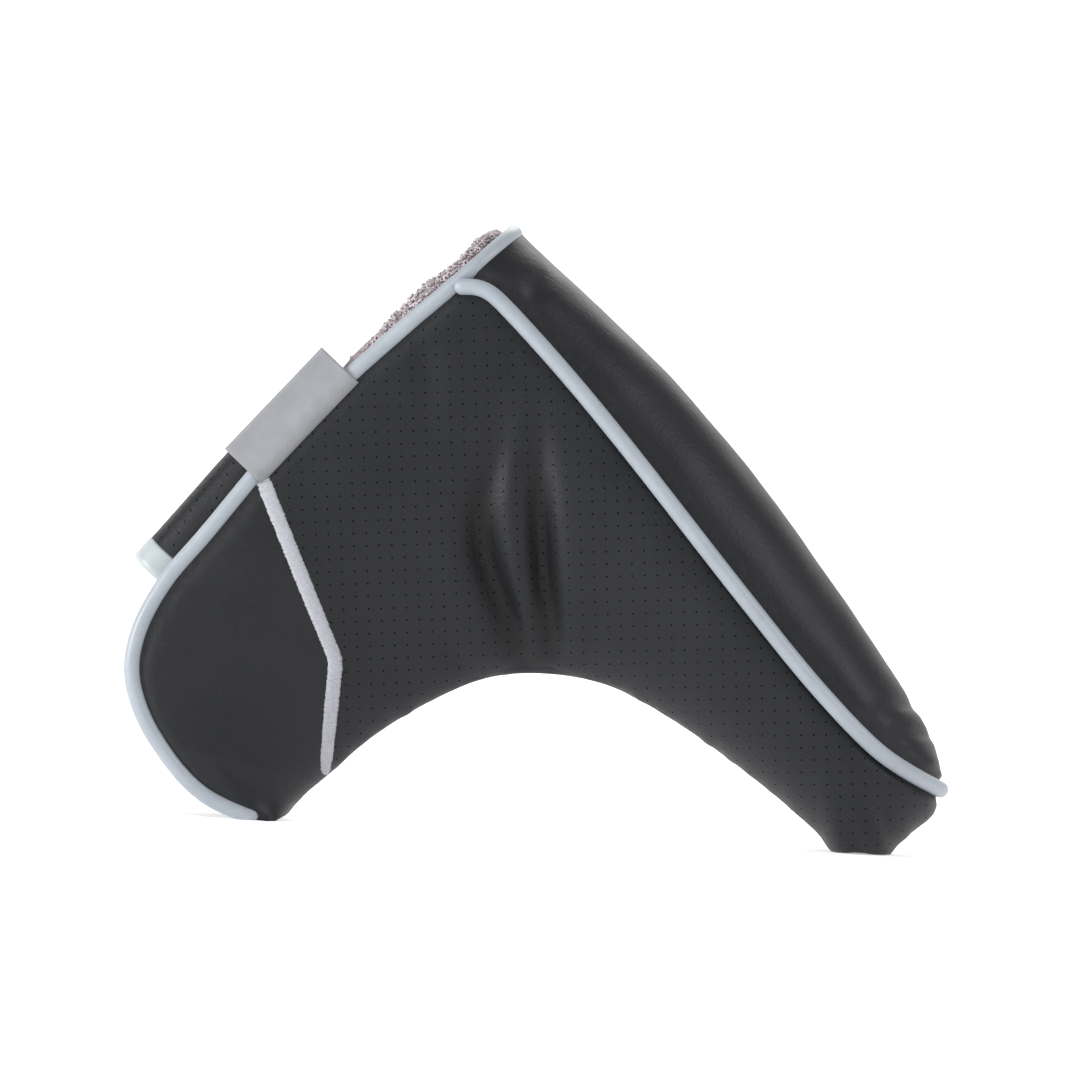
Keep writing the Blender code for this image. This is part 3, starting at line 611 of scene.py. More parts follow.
BACK_FOLDS = [
    (3.1, [(-9.0, 80, 0.0), (-8.0, 63, 2.3), (-5.0, 48, 3.4), (-2.0, 36, 1.4)]),
    (2.7, [(3.0, 76, 0.0), (3.4, 59, 1.9), (4.6, 45, 2.8), (5.6, 34, 1.0)]),
    (4.6, [(-2.5, 82, 0.0), (-2.4, 60, -0.8), (0.4, 44, -0.7), (2.0, 35, -0.1)]),
    (2.0, [(-20.0, 40, 0.0), (-16.5, 34, 0.5), (-14.0, 31, 0.4)]),
    (2.2, [(69.0, 14, 0.0), (71.6, 8, 0.6), (74.0, 3, 0.5)]),
    (1.8, [(-68.0, 14, 0.0), (-63.0, 8, 0.5), (-58.0, 5, 0.2)]),
]


def hump(value, width, centre=0.0):
    """1 at the centre, falling softly to 0 on both sides."""
    return np.exp(-(((value - centre) / width) ** 2))


def sunk_by(flat, folds):
    """How deep each point of the front view lies in the folds, in millimetres."""
    total = np.zeros(flat.shape[:-1])
    for width, path in folds:
        line = smooth_curve(np.array(path) * (1, 1, 20), np.linspace(0, 1, 40)) / (1, 1, 20)
        nearest, deep = np.full(total.shape, 1e9), np.zeros(total.shape)
        for a, b in zip(line, line[1:]):
            run = b[:2] - a[:2]
            t = np.clip(((flat - a[:2]) @ run) / (run @ run), 0, 1)
            away = np.linalg.norm(flat - a[:2] - t[..., None] * run, axis=-1)
            closer = away < nearest
            nearest = np.where(closer, away, nearest)
            deep = np.where(closer, a[2] + (b[2] - a[2]) * t, deep)
        total += deep * hump(nearest, width)
    return total


def along_rows(points):
    """(distance from the outer edge, distance from the closed seam) along each station's row."""
    steps = np.linalg.norm(np.diff(points, axis=1), axis=-1)
    run = np.concatenate([np.zeros((len(points), 1)), np.cumsum(steps, axis=1)], axis=1)
    return run, run[:, -1:] - run


WAVES = 7


def ripples(flat, size, seed):
    """Soft waves over the front view, from -1 to 1, from a few crossed sines."""
    random = np.random.default_rng(seed)
    total = np.zeros(flat.shape[:-1])
    for _ in range(WAVES):
        way, phase = random.normal(size=2), random.uniform(0, 2 * math.pi)
        length = size * random.uniform(0.7, 1.6)
        total += np.sin(flat @ (way / np.linalg.norm(way)) * 2 * math.pi / length + phase)
    return total / WAVES


def pucker_wave(run, across, lengths, random):
    """An uneven wave along a seam, from -1 to 1, whose crests lean with the distance across."""
    return sum(np.sin(run / w + across / (w * 5) + random.uniform(0, 6.3)) for w in lengths) / 3


print("folds:", len(FRONT_FOLDS), "in the front,", len(BACK_FOLDS), "in the back")

# %% Sewn shape of the front and the back
BEAD_PULL, GROOVE_PLACE, GROOVE_WIDTH = 0.55, 2.2, 1.5
PANEL_PUCKERS, PUCKER_REACH = 0.26, 5.5


def groove_beside_bead(from_bead):
    return BEAD_PULL * hump(from_bead, GROOVE_WIDTH, GROOVE_PLACE)


def sewn_panel(folds, seed):
    """The front's grid with folds, puckers at the closed seam and a groove beside the bead."""
    points, normals = FRONT
    flat = points[..., (0, 2)]
    from_edge, from_seam = along_rows(points)
    station = np.cumsum(np.linalg.norm(np.gradient(points[:, -1], axis=0), axis=-1))[:, None]
    random = np.random.default_rng(seed)
    wave = pucker_wave(station, 0, (0.9, 1.35, 2.1), random)
    puckers = PANEL_PUCKERS * wave * hump(from_seam, PUCKER_REACH) * ramp(from_seam, 1.0)
    soft = 0.30 * ripples(flat, 34, seed) + 0.09 * ripples(flat, 11, seed + 1)
    soft = soft * ramp(from_edge, 12) * ramp(from_seam, 6)
    held = ramp(from_seam, 2.5) * ramp(from_edge, 3)
    sunk = sunk_by(flat, folds) * held + groove_beside_bead(from_edge) * ramp(from_seam, 6)
    moved = points - normals * (sunk + puckers + soft)[..., None]
    moved[..., 1] = np.minimum(moved[..., 1], -0.02)
    moved[..., 2] = np.maximum(moved[..., 2], 0.0)
    return moved, front_normals(moved)


PADDING_SPREAD = 1.4


def eased(folds):
    """The folds as thick padding takes them: wider, and with no ridge between them."""
    sinking = [(width, path) for width, path in folds if max(step[2] for step in path) > 0]
    return [(width + PADDING_SPREAD, path) for width, path in sinking]


FRONT_SEWN = sewn_panel(FRONT_FOLDS, 4)
BACK_SEWN = [part * (1, -1, 1) for part in sewn_panel(BACK_FOLDS, 9)]
FRONT_PADDED = sewn_panel(eased(FRONT_FOLDS), 4)
BACK_PADDED = [part * (1, -1, 1) for part in sewn_panel(eased(BACK_FOLDS), 9)]
print("deepest fold:", round(float(sunk_by(FRONT[0][..., (0, 2)], FRONT_FOLDS).max()), 1), "mm")

# %% [markdown]
# A grid becomes leather in two steps. First its faces are made as an open skin at some depth below
# the outer surface. Then Solidify grows the skin inwards to the thickness of the layer. The front
# is cut along the chevron, where perforated and smooth leather are joined, before it is thickened.

# %% Skins and layers
def skin_faces(stations, rows, turned):
    faces = []
    for i in range(stations - 1):
        for j in range(rows - 1):
            a, b = i * rows + j, (i + 1) * rows + j
            faces.append((a, a + 1, b + 1, b) if turned else (a, b, b + 1, a + 1))
    return faces


def mark(piece, name, values):
    """Gives each point of a piece a number that materials and node trees can read."""
    layer = piece.data.attributes.new(name, "FLOAT", "POINT")
    layer.data.foreach_set("value", np.asarray(values).ravel().astype(np.float32))


def skin(name, grid, depth, finish, turned=False):
    """An open skin of a grid, this far below its surface, that knows how near its edge is."""
    points, normals = grid
    sunk = points - normals * depth
    sunk[..., 2] = np.maximum(sunk[..., 2], depth)
    from_edge, from_seam = along_rows(points)
    nearest = np.minimum(from_edge, from_seam)
    made = make_piece(name, sunk.reshape(-1, 3), skin_faces(*points.shape[:2], turned), finish)
    mark(made, "wear", hump(nearest, 3.0, 1.5))
    mark(made, "margin", nearest)
    return made


# Depth of a fold in millimetres at which its painted shade is full.
FULL_SHADE_DEPTH = 3.0


def paint_fold_shade(piece, folds):
    """Tells the material how deep in a fold each point of a panel lies, for the painted fold shade.
    """
    flat = np.array([(v.co.x, v.co.z) for v in piece.data.vertices]) / MM
    mark(piece, "crease", ramp(sunk_by(flat, folds), FULL_SHADE_DEPTH) ** 1.2)


def trimmed(grid, edge=0, seam=0, first=0, last=0):
    """The grid without some rows at its edge and its seam, and its first and last stations."""
    stations, rows = grid[0].shape[:2]
    return [part[first : stations - last, edge : rows - seam] for part in grid]


def apply_modifiers(piece):
    """Turns the evaluated object, modifiers and all, into a plain mesh."""
    bpy.context.view_layer.update()
    shown = piece.evaluated_get(bpy.context.evaluated_depsgraph_get())
    plain = bpy.data.meshes.new_from_object(shown)
    piece.modifiers.clear()
    old, piece.data = piece.data, plain
    plain.name = piece.name
    bpy.data.meshes.remove(old)
    return piece


def thicken(piece, thickness):
    """Grows an open skin inwards into a closed layer."""
    wall = piece.modifiers.new("wall", "SOLIDIFY")
    wall.thickness = thickness * MM
    wall.offset = -1.0
    wall.use_even_offset = False
    apply_modifiers(piece)
    for vertex in piece.data.vertices:
        vertex.co.z = max(vertex.co.z, 0.0)
    return piece


def cut_region(piece, planes, keep_inside):
    """Keeps the part of a skin behind every plane, or else the rest. A plane is (point, normal)."""
    mesh = bmesh.new()
    mesh.from_mesh(piece.data)
    for point, normal in planes:
        everything = mesh.verts[:] + mesh.edges[:] + mesh.faces[:]
        bmesh.ops.bisect_plane(mesh, geom=everything, dist=1e-7, plane_co=point, plane_no=normal)
    dropped = []
    for face in mesh.faces:
        centre = face.calc_center_median()
        inside = all((centre - point).dot(normal) < 0 for point, normal in planes)
        if inside != keep_inside:
            dropped.append(face)
    bmesh.ops.delete(mesh, geom=dropped, context="FACES")
    mesh.to_mesh(piece.data)
    mesh.free()
    return piece


print("deepest grid point:", round(float(FRONT_SEWN[0][..., 1].min()), 1), "mm")

# %% [markdown]
# ## Fold lines
#
# The flap opens along a straight line from the apex to the foot of the closed seam, and the tab
# folds at its root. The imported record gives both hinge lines.

# %% Where the leather bends
joints = {joint["name"]: joint for joint in frame["joints"]}
FOLD_POINT = np.array(joints["flap_fold"]["pos_m"]) / MM
FOLD_AXIS = np.array(joints["flap_fold"]["axis"])
TOWARDS_FLAP = unit(np.array([-FOLD_AXIS[2], 0, FOLD_AXIS[0]]))
FOLD_BEFORE, FOLD_AFTER = 1.5, 9.0


def bend_with_flap(piece):
    """Bakes a piece's placement; the fold's ends are worked out but unused, so nothing bends."""
    start = (FOLD_POINT - TOWARDS_FLAP * FOLD_BEFORE) * MM
    end = (FOLD_POINT + TOWARDS_FLAP * FOLD_AFTER) * MM
    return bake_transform(piece)


print("the fold runs along", np.round(FOLD_AXIS, 2))

# %% [markdown]
# ## Leather of the front
#
# The front is one perforated panel and one smooth panel on the end of the neck. They meet along the
# chevron, whose corner lies on the fold. Both are cut from the same sewn grid, so they stay joined.

# %% Chevron line
BAND_START = 0.365
BAND_KINK = (-44.3, 34.0)
BAND_FOOT = (-45.4, 9.6)


def at_mouth(fraction):
    return smooth_curve(drawn(MOUTH_EDGE), [fraction])[0]


CHEVRON = [at_mouth(BAND_START), drawn([BAND_KINK])[0], drawn([BAND_FOOT])[0]]


def line_plane(a, b):
    """(point, normal) of the upright plane through two points of the front view, in metres."""
    run = unit(b - a)
    return Vector((a[0], 0, a[1])) * MM, Vector((-run[1], 0, run[0]))


def area_of(piece):
    return sum(face.area for face in piece.data.polygons)


def cut_size(piece):
    """(width, length) in metres of the front view's rectangle that the cut of a skin fits in."""
    co = np.array([v.co for v in piece.data.vertices])
    spans = np.ptp(co, axis=0)
    return float(max(spans[0], 0.011)), float(max(spans[2], 0.011))


def declare_sheet(area, size):
    """Works out what a layer was cut to, and does nothing with it. A curved cut needs a larger
    rectangle than the front view.
    """
    width, length = size
    grow = max(1.0, math.sqrt(area / (width * length) / 0.95))
    flat = (width * grow, length * grow)


print("chevron corners:", [np.round(corner, 1).tolist() for corner in CHEVRON])

# %% Front leather
LEATHER = 1.2
chevron_planes = [line_plane(a, b) for a, b in zip(CHEVRON, CHEVRON[1:])]
PERFORATED_LEATHER = (LEATHER, PERFORATED, "perforated_leather")
SMOOTH_LEATHER = (LEATHER, SMOOTH, "smooth_leather")


def belongs(piece, slot, *nodes, body=None):
    """Hides the CAD nodes that a piece stands for and, if given one, attaches it to a body.

    The slot is not used.
    """
    if body:
        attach(piece, body)
    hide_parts(*nodes)
    return piece


def layer(name, grid, cloth, nodes, rests_on=None, depth=0, turned=False, folds=None, **cut):
    """A closed layer of a cloth, which is (thickness, finish, slot), grown inwards from a grid.

    A cut may say which side of the chevron is kept, as inside, or the size of a flat cut."""
    thickness, finish, slot = cloth
    piece = skin(name, grid, depth, finish, turned)
    # The fold depths mark where the leather is darkened as painted shade.
    if folds is not None:
        paint_fold_shade(piece, folds)
    if "inside" in cut:
        cut_region(piece, chevron_planes, cut["inside"])
    area, size = area_of(piece), cut.get("size") or cut_size(piece)
    belongs(thicken(piece, thickness), slot, *nodes)
    if rests_on:
        declare_sheet(area, size)
    return piece


front_panel = layer(
    "front_perforated_panel", FRONT_SEWN, PERFORATED_LEATHER,
    ["front_leather", "flap_perforated_leather"], "front_foam_layer",
    folds=FRONT_FOLDS, inside=False,
)
neck_panel = layer(
    "neck_smooth_panel", FRONT_SEWN, SMOOTH_LEATHER, ["flap_neck_leather"], "front_foam_layer",
    folds=FRONT_FOLDS, inside=True,
)
for panel in (front_panel, neck_panel):
    bend_with_flap(panel)
print("front leather faces:", len(front_panel.data.polygons), len(neck_panel.data.polygons))

# %% [markdown]
# ## Leather of the back and the gusset
#
# The back is the front's mirror image in one piece, with folds of its own. The gusset is a strip
# sewn between the two sole seams. It is cut a little long, so it stands in a full round section,
# pulls in beside both beads and puckers near its narrow ends.

# %% Back leather
back_panel = layer(
    "back_perforated_panel", BACK_SEWN, PERFORATED_LEATHER, ["back_leather"], "back_foam_layer",
    turned=True, folds=BACK_FOLDS,
)
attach(back_panel, "cover")
print("back leather faces:", len(back_panel.data.polygons))

# %% Gusset leather
GUSSET_PUCKERS = 0.34
GUSSET_FOLDS = [
    # depth, place along the sole (from its end where negative), lean, width, and reach across
    (0.9, 32, 0.30, 2.2, 16, 8),
    (0.7, 25, 0.45, 1.8, 12, 6),
    (0.8, -16, -0.35, 2.0, 9, 6),
]


def sewn_gusset():
    """The gusset's grid with a groove beside each bead and puckers at its ends."""
    points, normals = GUSSET
    from_front, from_back = along_rows(points)
    nearest = np.minimum(from_front, from_back)
    run = np.cumsum(np.linalg.norm(np.gradient(points[:, 0], axis=0), axis=-1))[:, None]
    share = run / run[-1]
    wave = pucker_wave(run, from_front, (1.1, 1.7, 2.9), np.random.default_rng(21))
    ends = hump(share, 0.24) + 0.45 * hump(1 - share, 0.12) + 0.10
    puckers = GUSSET_PUCKERS * wave * ends * hump(nearest, 8.0) * ramp(nearest, 1.6)
    strip = np.stack([run + 0 * nearest, from_front], axis=-1)
    soft = 0.34 * ripples(strip, 30, 5) + 0.12 * ripples(strip, 9, 6)
    fold = 0
    for deep, place, lean, width, middle, reach in GUSSET_FOLDS:
        start = run[-1] if place < 0 else 0
        across = hump(from_front, reach, middle)
        fold = fold + deep * hump(run - start - place + lean * from_front, width) * across
    held = ramp(nearest, 3) * ramp(share, 0.03)
    sunk = puckers + (soft + fold) * held + groove_beside_bead(nearest)
    moved = points - normals * sunk[..., None]
    return moved, gusset_normals(moved)


GUSSET_SEWN = sewn_gusset()
gusset_panel = layer(
    "gusset_smooth_panel", GUSSET_SEWN, SMOOTH_LEATHER, ["gusset_leather"], "gusset_foam_layer",
    turned=True, folds=[],
)
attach(gusset_panel, "cover")
print("gusset faces:", len(gusset_panel.data.polygons))

# %% [markdown]
# ## Padding
#
# Under the leather lies a foam sheet, and under that the fleece. They follow the same folds, since
# all three layers are sewn through together. Fewer points are enough for them.

# %% Foam and lining layers
GAP, FOAM_THICK, LINING_THICK = 0.3, 2.0, 2.0
FOAM_DEPTH = LEATHER + GAP
LINING_DEPTH = FOAM_DEPTH + FOAM_THICK + GAP
LINING_PROUD, PROUD_AT = 2.4, (0.0, 0.07, 0.16, 0.26)
FOAM_SHEET = (FOAM_THICK, FOAM, "foam")
FLEECE_SHEET = (LINING_THICK, BACKING, "fleece")


def thinned(grid, step=2):
    """Every other station and row, with the last ones kept."""
    picks = [sorted({*range(0, size, step), size - 1}) for size in grid[0].shape[:2]]
    return [part[np.ix_(*picks)] for part in grid]


def proud_of_mouth(grid):
    """Moves the edge of the mouth's upper part outwards, for the lining that shows there."""
    points, normals = [part.copy() for part in grid]
    share = np.linspace(0, 1, len(points))
    at = (share * (CORNER + MOUTH_STEPS) - CORNER) / MOUTH_STEPS
    out = np.interp(at, PROUD_AT, (0, LINING_PROUD, LINING_PROUD, 0)) * (at > 0)
    step = unit(points[:, 0] - points[:, 2])
    for row, part in enumerate((1.0, 0.55, 0.2)):
        points[:, row] += step * (out * part)[:, None]
    return points, normals


def soft_layer(side, kind, cloth, grid, depth, rests_on=None):
    """The foam or the lining of one side. The back's and the gusset's are attached to the cover."""
    front = side == "front"
    nodes = [f"{side}_{kind}"] + [f"flap_{kind}"] * front
    name = f"{side}_foam_layer" if kind == "foam" else f"{side}_fleece_lining"
    piece = layer(name, grid, cloth, nodes, rests_on, depth, turned=not front)
    if front:
        bend_with_flap(piece)
    else:
        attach(piece, "cover")
    return piece


FRONT_THIN, BACK_THIN = thinned(FRONT_PADDED), thinned(BACK_PADDED)
GUSSET_THIN = thinned(GUSSET_SEWN)
FOAM_CUT = {"edge": 2, "seam": 3, "first": 18, "last": 7}
LINING_CUT = {"edge": 0, "seam": 6, "first": 22, "last": 6}
soft_layers = [
    soft_layer(side, "foam", FOAM_SHEET, grid, FOAM_DEPTH)
    for side, grid in (
        ("front", trimmed(FRONT_THIN, **FOAM_CUT)),
        ("back", trimmed(BACK_THIN, **FOAM_CUT)),
        ("gusset", trimmed(GUSSET_THIN, 2, 2, 18, 2)),
    )
] + [
    soft_layer(side, "lining", FLEECE_SHEET, grid, LINING_DEPTH, f"{side}_foam_layer")
    for side, grid in (
        ("front", trimmed(proud_of_mouth(FRONT_THIN), **LINING_CUT)),
        ("back", trimmed(proud_of_mouth(BACK_THIN), **LINING_CUT)),
        ("gusset", trimmed(GUSSET_THIN, 2, 2, 22, 0)),
    )
]
print("soft layers:", [piece.name for piece in soft_layers])

# %% [markdown]
# ## Piping
#
# Piping is a cord wrapped in a strip of vinyl and caught in the seam, so it lies half sunk between
# two pieces of leather. A tube along the seam line is right, as long as its rings don't twist. The
# bead of the mouth is made in two runs: the front run lies along the front's mouth edge, and the
# run over the gusset and down the back edge is attached to the body.

# %% Tubes
BEAD_RADIUS = 1.7
SOLE_BEAD_LIFT = 1.0
MOUTH_BEAD_DEPTH = 1.0
BEAD_SIDES = 20


def evenly(path, spacing):
    """Points along a path at an even spacing."""
    path = np.asarray(path, float)
    run = distance_along(path)
    return along_path(path, run, np.linspace(0, run[-1], max(2, round(run[-1] / spacing)) + 1))


def relaxed(path, turns):
    """A path with its small kinks averaged away, and its ends kept."""
    path = path.copy()
    for _ in range(turns):
        path[1:-1] = (path[:-2] + 2 * path[1:-1] + path[2:]) / 4
    return path


def tube(name, path, radius, finish):
    """A closed tube along a path, with domed ends."""
    along = unit(np.gradient(path, axis=0))
    ups = np.zeros_like(path)
    ups[0] = unit(np.cross(along[0], (0.3, 1.0, 0.2)))
    for i in range(1, len(path)):
        kept = ups[i - 1] - along[i] * (ups[i - 1] @ along[i])
        ups[i] = unit(kept)
    sides = np.cross(along, ups)
    dome = [(math.sin(t) * radius, math.cos(t) * radius) for t in np.linspace(0, math.pi / 2, 5)]
    rings = [(path[0] - along[0] * out, ups[0], sides[0], r) for out, r in dome[:0:-1]]
    rings += [(p, u, s, radius) for p, u, s in zip(path, ups, sides)]
    rings += [(path[-1] + along[-1] * out, ups[-1], sides[-1], r) for out, r in dome[1:]]
    angles = np.linspace(0, 2 * math.pi, BEAD_SIDES, endpoint=False)
    points, faces = [], []
    for centre, up, side, r in rings:
        for a in angles:
            points.append(centre + (up * math.cos(a) + side * math.sin(a)) * max(r, 1e-3))
    for k in range(len(rings) - 1):
        for i in range(BEAD_SIDES):
            j = (i + 1) % BEAD_SIDES
            a, b = k * BEAD_SIDES, (k + 1) * BEAD_SIDES
            faces.append((a + i, a + j, b + j, b + i))
    faces.append(tuple(range(BEAD_SIDES))[::-1])
    faces.append(tuple((len(rings) - 1) * BEAD_SIDES + i for i in range(BEAD_SIDES)))
    points = np.array(points)
    points[:, 2] = np.maximum(points[:, 2], 0.0)
    made = make_piece(name, points, faces, finish)
    turn_outwards(made)
    return made


def turn_outwards(piece):
    mesh = bmesh.new()
    mesh.from_mesh(piece.data)
    bmesh.ops.recalc_face_normals(mesh, faces=mesh.faces)
    if mesh.calc_volume(signed=True) < 0:
        bmesh.ops.reverse_faces(mesh, faces=mesh.faces)
    mesh.to_mesh(piece.data)
    mesh.free()


print("bead:", 2 * BEAD_RADIUS, "mm across")

# %% Sole piping and mouth piping
BEAD_SPACING = 0.8


def sole_path():
    """The sole bead: up the front seam from the apex to the toe, round the tip, and back behind."""
    points = FRONT[0]
    front = points[: CORNER + 1, 0] + np.array([0, -SOLE_BEAD_LIFT, 0])
    tip = np.array([[points[0, 0, 0] + SOLE_BEAD_LIFT, 0, points[0, 0, 2] - SOLE_BEAD_LIFT / 2]])
    front = front[(np.abs(front[:, 1]) > 5.0)]
    turn = np.vstack([front[6:0:-2], tip, front[2:8:2] * (1, -1, 1)])
    turn = smooth_curve(turn, np.linspace(0, 1, 40))
    whole = np.vstack([front[:6:-1], turn, front[7:] * (1, -1, 1)])
    whole = evenly(whole, BEAD_SPACING)
    return relaxed(whole, 6)[3:-3]


def mouth_runs():
    """(front run, back run) of the mouth bead. The back run starts over the gusset's end."""
    points, normals = FRONT
    front = (points - normals * MOUTH_BEAD_DEPTH)[CORNER:-3, 0]
    ridge, facing = GUSSET
    end = (ridge - facing * MOUTH_BEAD_DEPTH)[-1]
    whole = np.vstack([front[::-1], end[2:-2], front * (1, -1, 1)])
    whole = relaxed(evenly(whole, BEAD_SPACING), 5)
    parting = int(np.argmin(np.linalg.norm(whole - front[0], axis=1)))
    return whole[: parting + 2], whole[parting:]


def bead(name, path, node):
    """A run of piping, with its length for the report of this cell."""
    print(name, round(float(distance_along(path)[-1])), "mm")
    return belongs(tube(name, path, BEAD_RADIUS, PIPING), "piping", node)


front_run, back_run = mouth_runs()
sole_bead = bead("sole_piping_bead", sole_path(), "sole_piping")
mouth_bead = bead("mouth_piping_front_run", front_run, "flap_piping")
back_bead = bead("mouth_piping_back_run", back_run, "mouth_piping")
bend_with_flap(mouth_bead)
for piece in (sole_bead, back_bead):
    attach(piece, "cover")

# %% [markdown]
# ## Wrap tab
#
# The tab is sewn into the back edge of the mouth, bows out round the heel and tucks under the flap.
# Its section is one smooth curve in the plane across the mouth, carried along the mouth. It narrows
# towards the upper end. The lower end is bound with a strip of vinyl.

# %% Surface of the tab
TAB_START, TAB_END = 0.185, 0.575
TAB_BULGE = 9.0
TAB_TUCK_TOP, TAB_TUCK_FOOT = 5.0, 18.0
TAB_ROOT, TAB_UNDER = 12.7, 5.3
TAB_ROWS, TAB_STEPS = 72, 60
TRIM_WIDTH, TRIM_PROUD, TRIM_ROUND, TRIM_THICK = 5.6, 0.25, 1.3, 0.5
TAB_LEATHER, TAB_LINING = 1.2, 1.5

tab_origin = at_mouth(TAB_START)
tab_along = unit(at_mouth(TAB_END) - tab_origin)
tab_out = np.array([tab_along[1], -tab_along[0]])
tab_length = float(np.linalg.norm(at_mouth(TAB_END) - tab_origin))
TAB_OUT = np.array([tab_out[0], 0, tab_out[1]])
TAB_ACROSS = 45.0


def tab_section(run):
    """(out, y) of the tab's outer surface, from its root at the back bead to its tip."""
    tuck = np.interp(run, (0, tab_length), (TAB_TUCK_TOP, TAB_TUCK_FOOT))
    swell = 1 - 0.10 * (1 - min(run / 14.0, 1.0)) ** 2
    return [
        (0.6, TAB_ROOT + 1.3), (2.3, TAB_ROOT), (TAB_BULGE * 0.75 * swell, TAB_ROOT * 0.72),
        (TAB_BULGE * swell, TAB_ROOT * 0.2), (TAB_BULGE * 0.8 * swell, -TAB_UNDER * 0.55),
        (TAB_BULGE * 0.35, -TAB_UNDER * 0.93), (-2.0, -TAB_UNDER), (-tuck, -TAB_UNDER),
    ]


def tab_grid(first, last, steps):
    """(points, normals) of the tab's outer surface between two distances down the mouth edge."""
    points = np.zeros((steps + 1, TAB_ROWS + 1, 3))
    for i, run in enumerate(np.linspace(first, last, steps + 1)):
        section = smooth_curve(tab_section(run), np.linspace(0, 1, TAB_ROWS + 1))
        flat = tab_origin + tab_along * run + tab_out * section[:, :1]
        points[i] = np.stack([flat[:, 0], section[:, 1], flat[:, 1]], axis=-1)
    soft = 0.22 * ripples(points[..., (0, 2)], 22, 31) + 0.08 * ripples(points[..., (0, 1)], 8, 32)
    normals = grid_normals(points)
    if normals[0, TAB_ROWS // 3] @ TAB_OUT < 0:
        normals = -normals
    return points - normals * soft[..., None], normals


probe, probe_normals = tab_grid(0, tab_length, 4)
probe_facing = np.cross(probe[2, 20] - probe[1, 20], probe[1, 21] - probe[1, 20])
TAB_TURNED = bool(probe_facing @ probe_normals[1, 20] < 0)


def bend_with_tab(piece):
    """Bakes a piece's placement into its points; nothing is bent."""
    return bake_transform(piece)


print("tab:", TAB_ROWS, "rows, turned faces:", TAB_TURNED)

# %% Leather, lining and binding of the tab
leather_end = tab_length - TRIM_WIDTH
tab_cut = (tab_length * MM, TAB_ACROSS * MM)
tab_leather = layer(
    "tab_perforated_panel", tab_grid(0, leather_end + 2, TAB_STEPS),
    (TAB_LEATHER, PERFORATED, "perforated_leather"), ["tab_leather"], "tab_fleece_lining",
    turned=TAB_TURNED, size=tab_cut,
)
tab_lining = layer(
    "tab_fleece_lining", tab_grid(0.4, leather_end + 1.6, TAB_STEPS // 2),
    (TAB_LINING, BACKING, "fleece"), ["tab_lining"], "tab_perforated_panel",
    depth=TAB_LEATHER + 0.1, turned=TAB_TURNED, size=tab_cut,
)


def binding_grid():
    """A strip folded over the tab's lower end: the outer face, a round edge and the inner face."""
    outer, facing = tab_grid(leather_end, tab_length - 1.2, 10)
    depth = TAB_LEATHER + TAB_LINING + 2 * TRIM_PROUD
    turns = np.linspace(0, math.pi, 11)[1:-1]
    step = unit(outer[-1] - outer[-2])
    half = depth / 2
    middle = outer[-1] - facing[-1] * (half - TRIM_PROUD)
    over = [
        middle + facing[-1] * half * math.cos(t) + step * TRIM_ROUND * math.sin(t) for t in turns
    ]
    rise = np.array([0.3, 0.9] + [1.0] * (len(outer) - 2))[:, None, None]
    raised = outer + facing * TRIM_PROUD * rise
    inner = (outer - facing * (depth - TRIM_PROUD))[::-1]
    points = np.concatenate([raised, over, inner])
    return points, grid_normals(points)


trim_points, trim_normals = binding_grid()
if trim_normals[2, 20] @ TAB_OUT < 0:
    trim_normals = -trim_normals
tab_trim = layer(
    "tab_binding", (trim_points, trim_normals), (TRIM_THICK, TRIM, "piping"), ["tab_trim"],
    turned=TAB_TURNED,
)
for piece in (tab_leather, tab_lining, tab_trim):
    bend_with_tab(piece)
print("tab:", round(tab_length), "mm long, flat width", TAB_ACROSS, "mm")

# %% Hook and loop patches
PATCH, PATCH_MARGIN = 1.0, 4.0
PATCH_ROWS = 24
patch_grid = tab_grid(PATCH_MARGIN, leather_end - PATCH_MARGIN, 36)
patch_grid = [part[:, -PATCH_ROWS:-2] for part in patch_grid]
TAPE = (PATCH, NYLON, "hook_and_loop")
loop_patch = layer(
    "loop_patch_tape", patch_grid, TAPE, ["loop_patch"], depth=-PATCH, turned=TAB_TURNED
)
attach(loop_patch, "tab")

HOOK_START, HOOK_END = 0.28, 0.5
HOOK_ROWS = (6, 14)
HOOK_DEPTH = LINING_DEPTH + LINING_THICK + 0.1
hook_first, hook_last = (CORNER + round(at * MOUTH_STEPS) for at in (HOOK_START, HOOK_END))
hook_grid = [part[hook_first:hook_last, HOOK_ROWS[0] : HOOK_ROWS[1]] for part in FRONT_SEWN]
hook_patch = layer("hook_patch_tape", hook_grid, TAPE, ["hook_patch"], depth=HOOK_DEPTH)
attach(hook_patch, "flap")
print("patches:", [len(p.data.polygons) for p in (loop_patch, hook_patch)], "faces")

# %% [markdown]
# ## Woven label
#
# The label is a blank ribbon folded over the bead and caught in the seam. Its section follows the
# bead, leaves it on both sides and closes in a tight fold. The ribbon's own UV map, in millimetres,
# carries the weave.

# %% Label ribbon
LABEL_START = 0.183
LABEL_LENGTH = 29.0
LABEL_REACH = 8.3
RIBBON = 0.42
LABEL_STEPS = 48


def label_section():
    """(out, forward) of the ribbon's middle round the bead, from its front leg to its back leg."""
    return [
        (-2.35, 0.35), (-1.7, 1.45), (-0.5, 2.05), (0.9, 2.0), (2.4, 1.5), (4.4, 0.95),
        (6.4, 0.62), (7.7, 0.46), (LABEL_REACH - 0.22, 0.0), (7.7, -0.46), (6.0, -0.7),
        (4.0, -1.1), (2.4, -1.7), (1.2, -2.1),
    ]


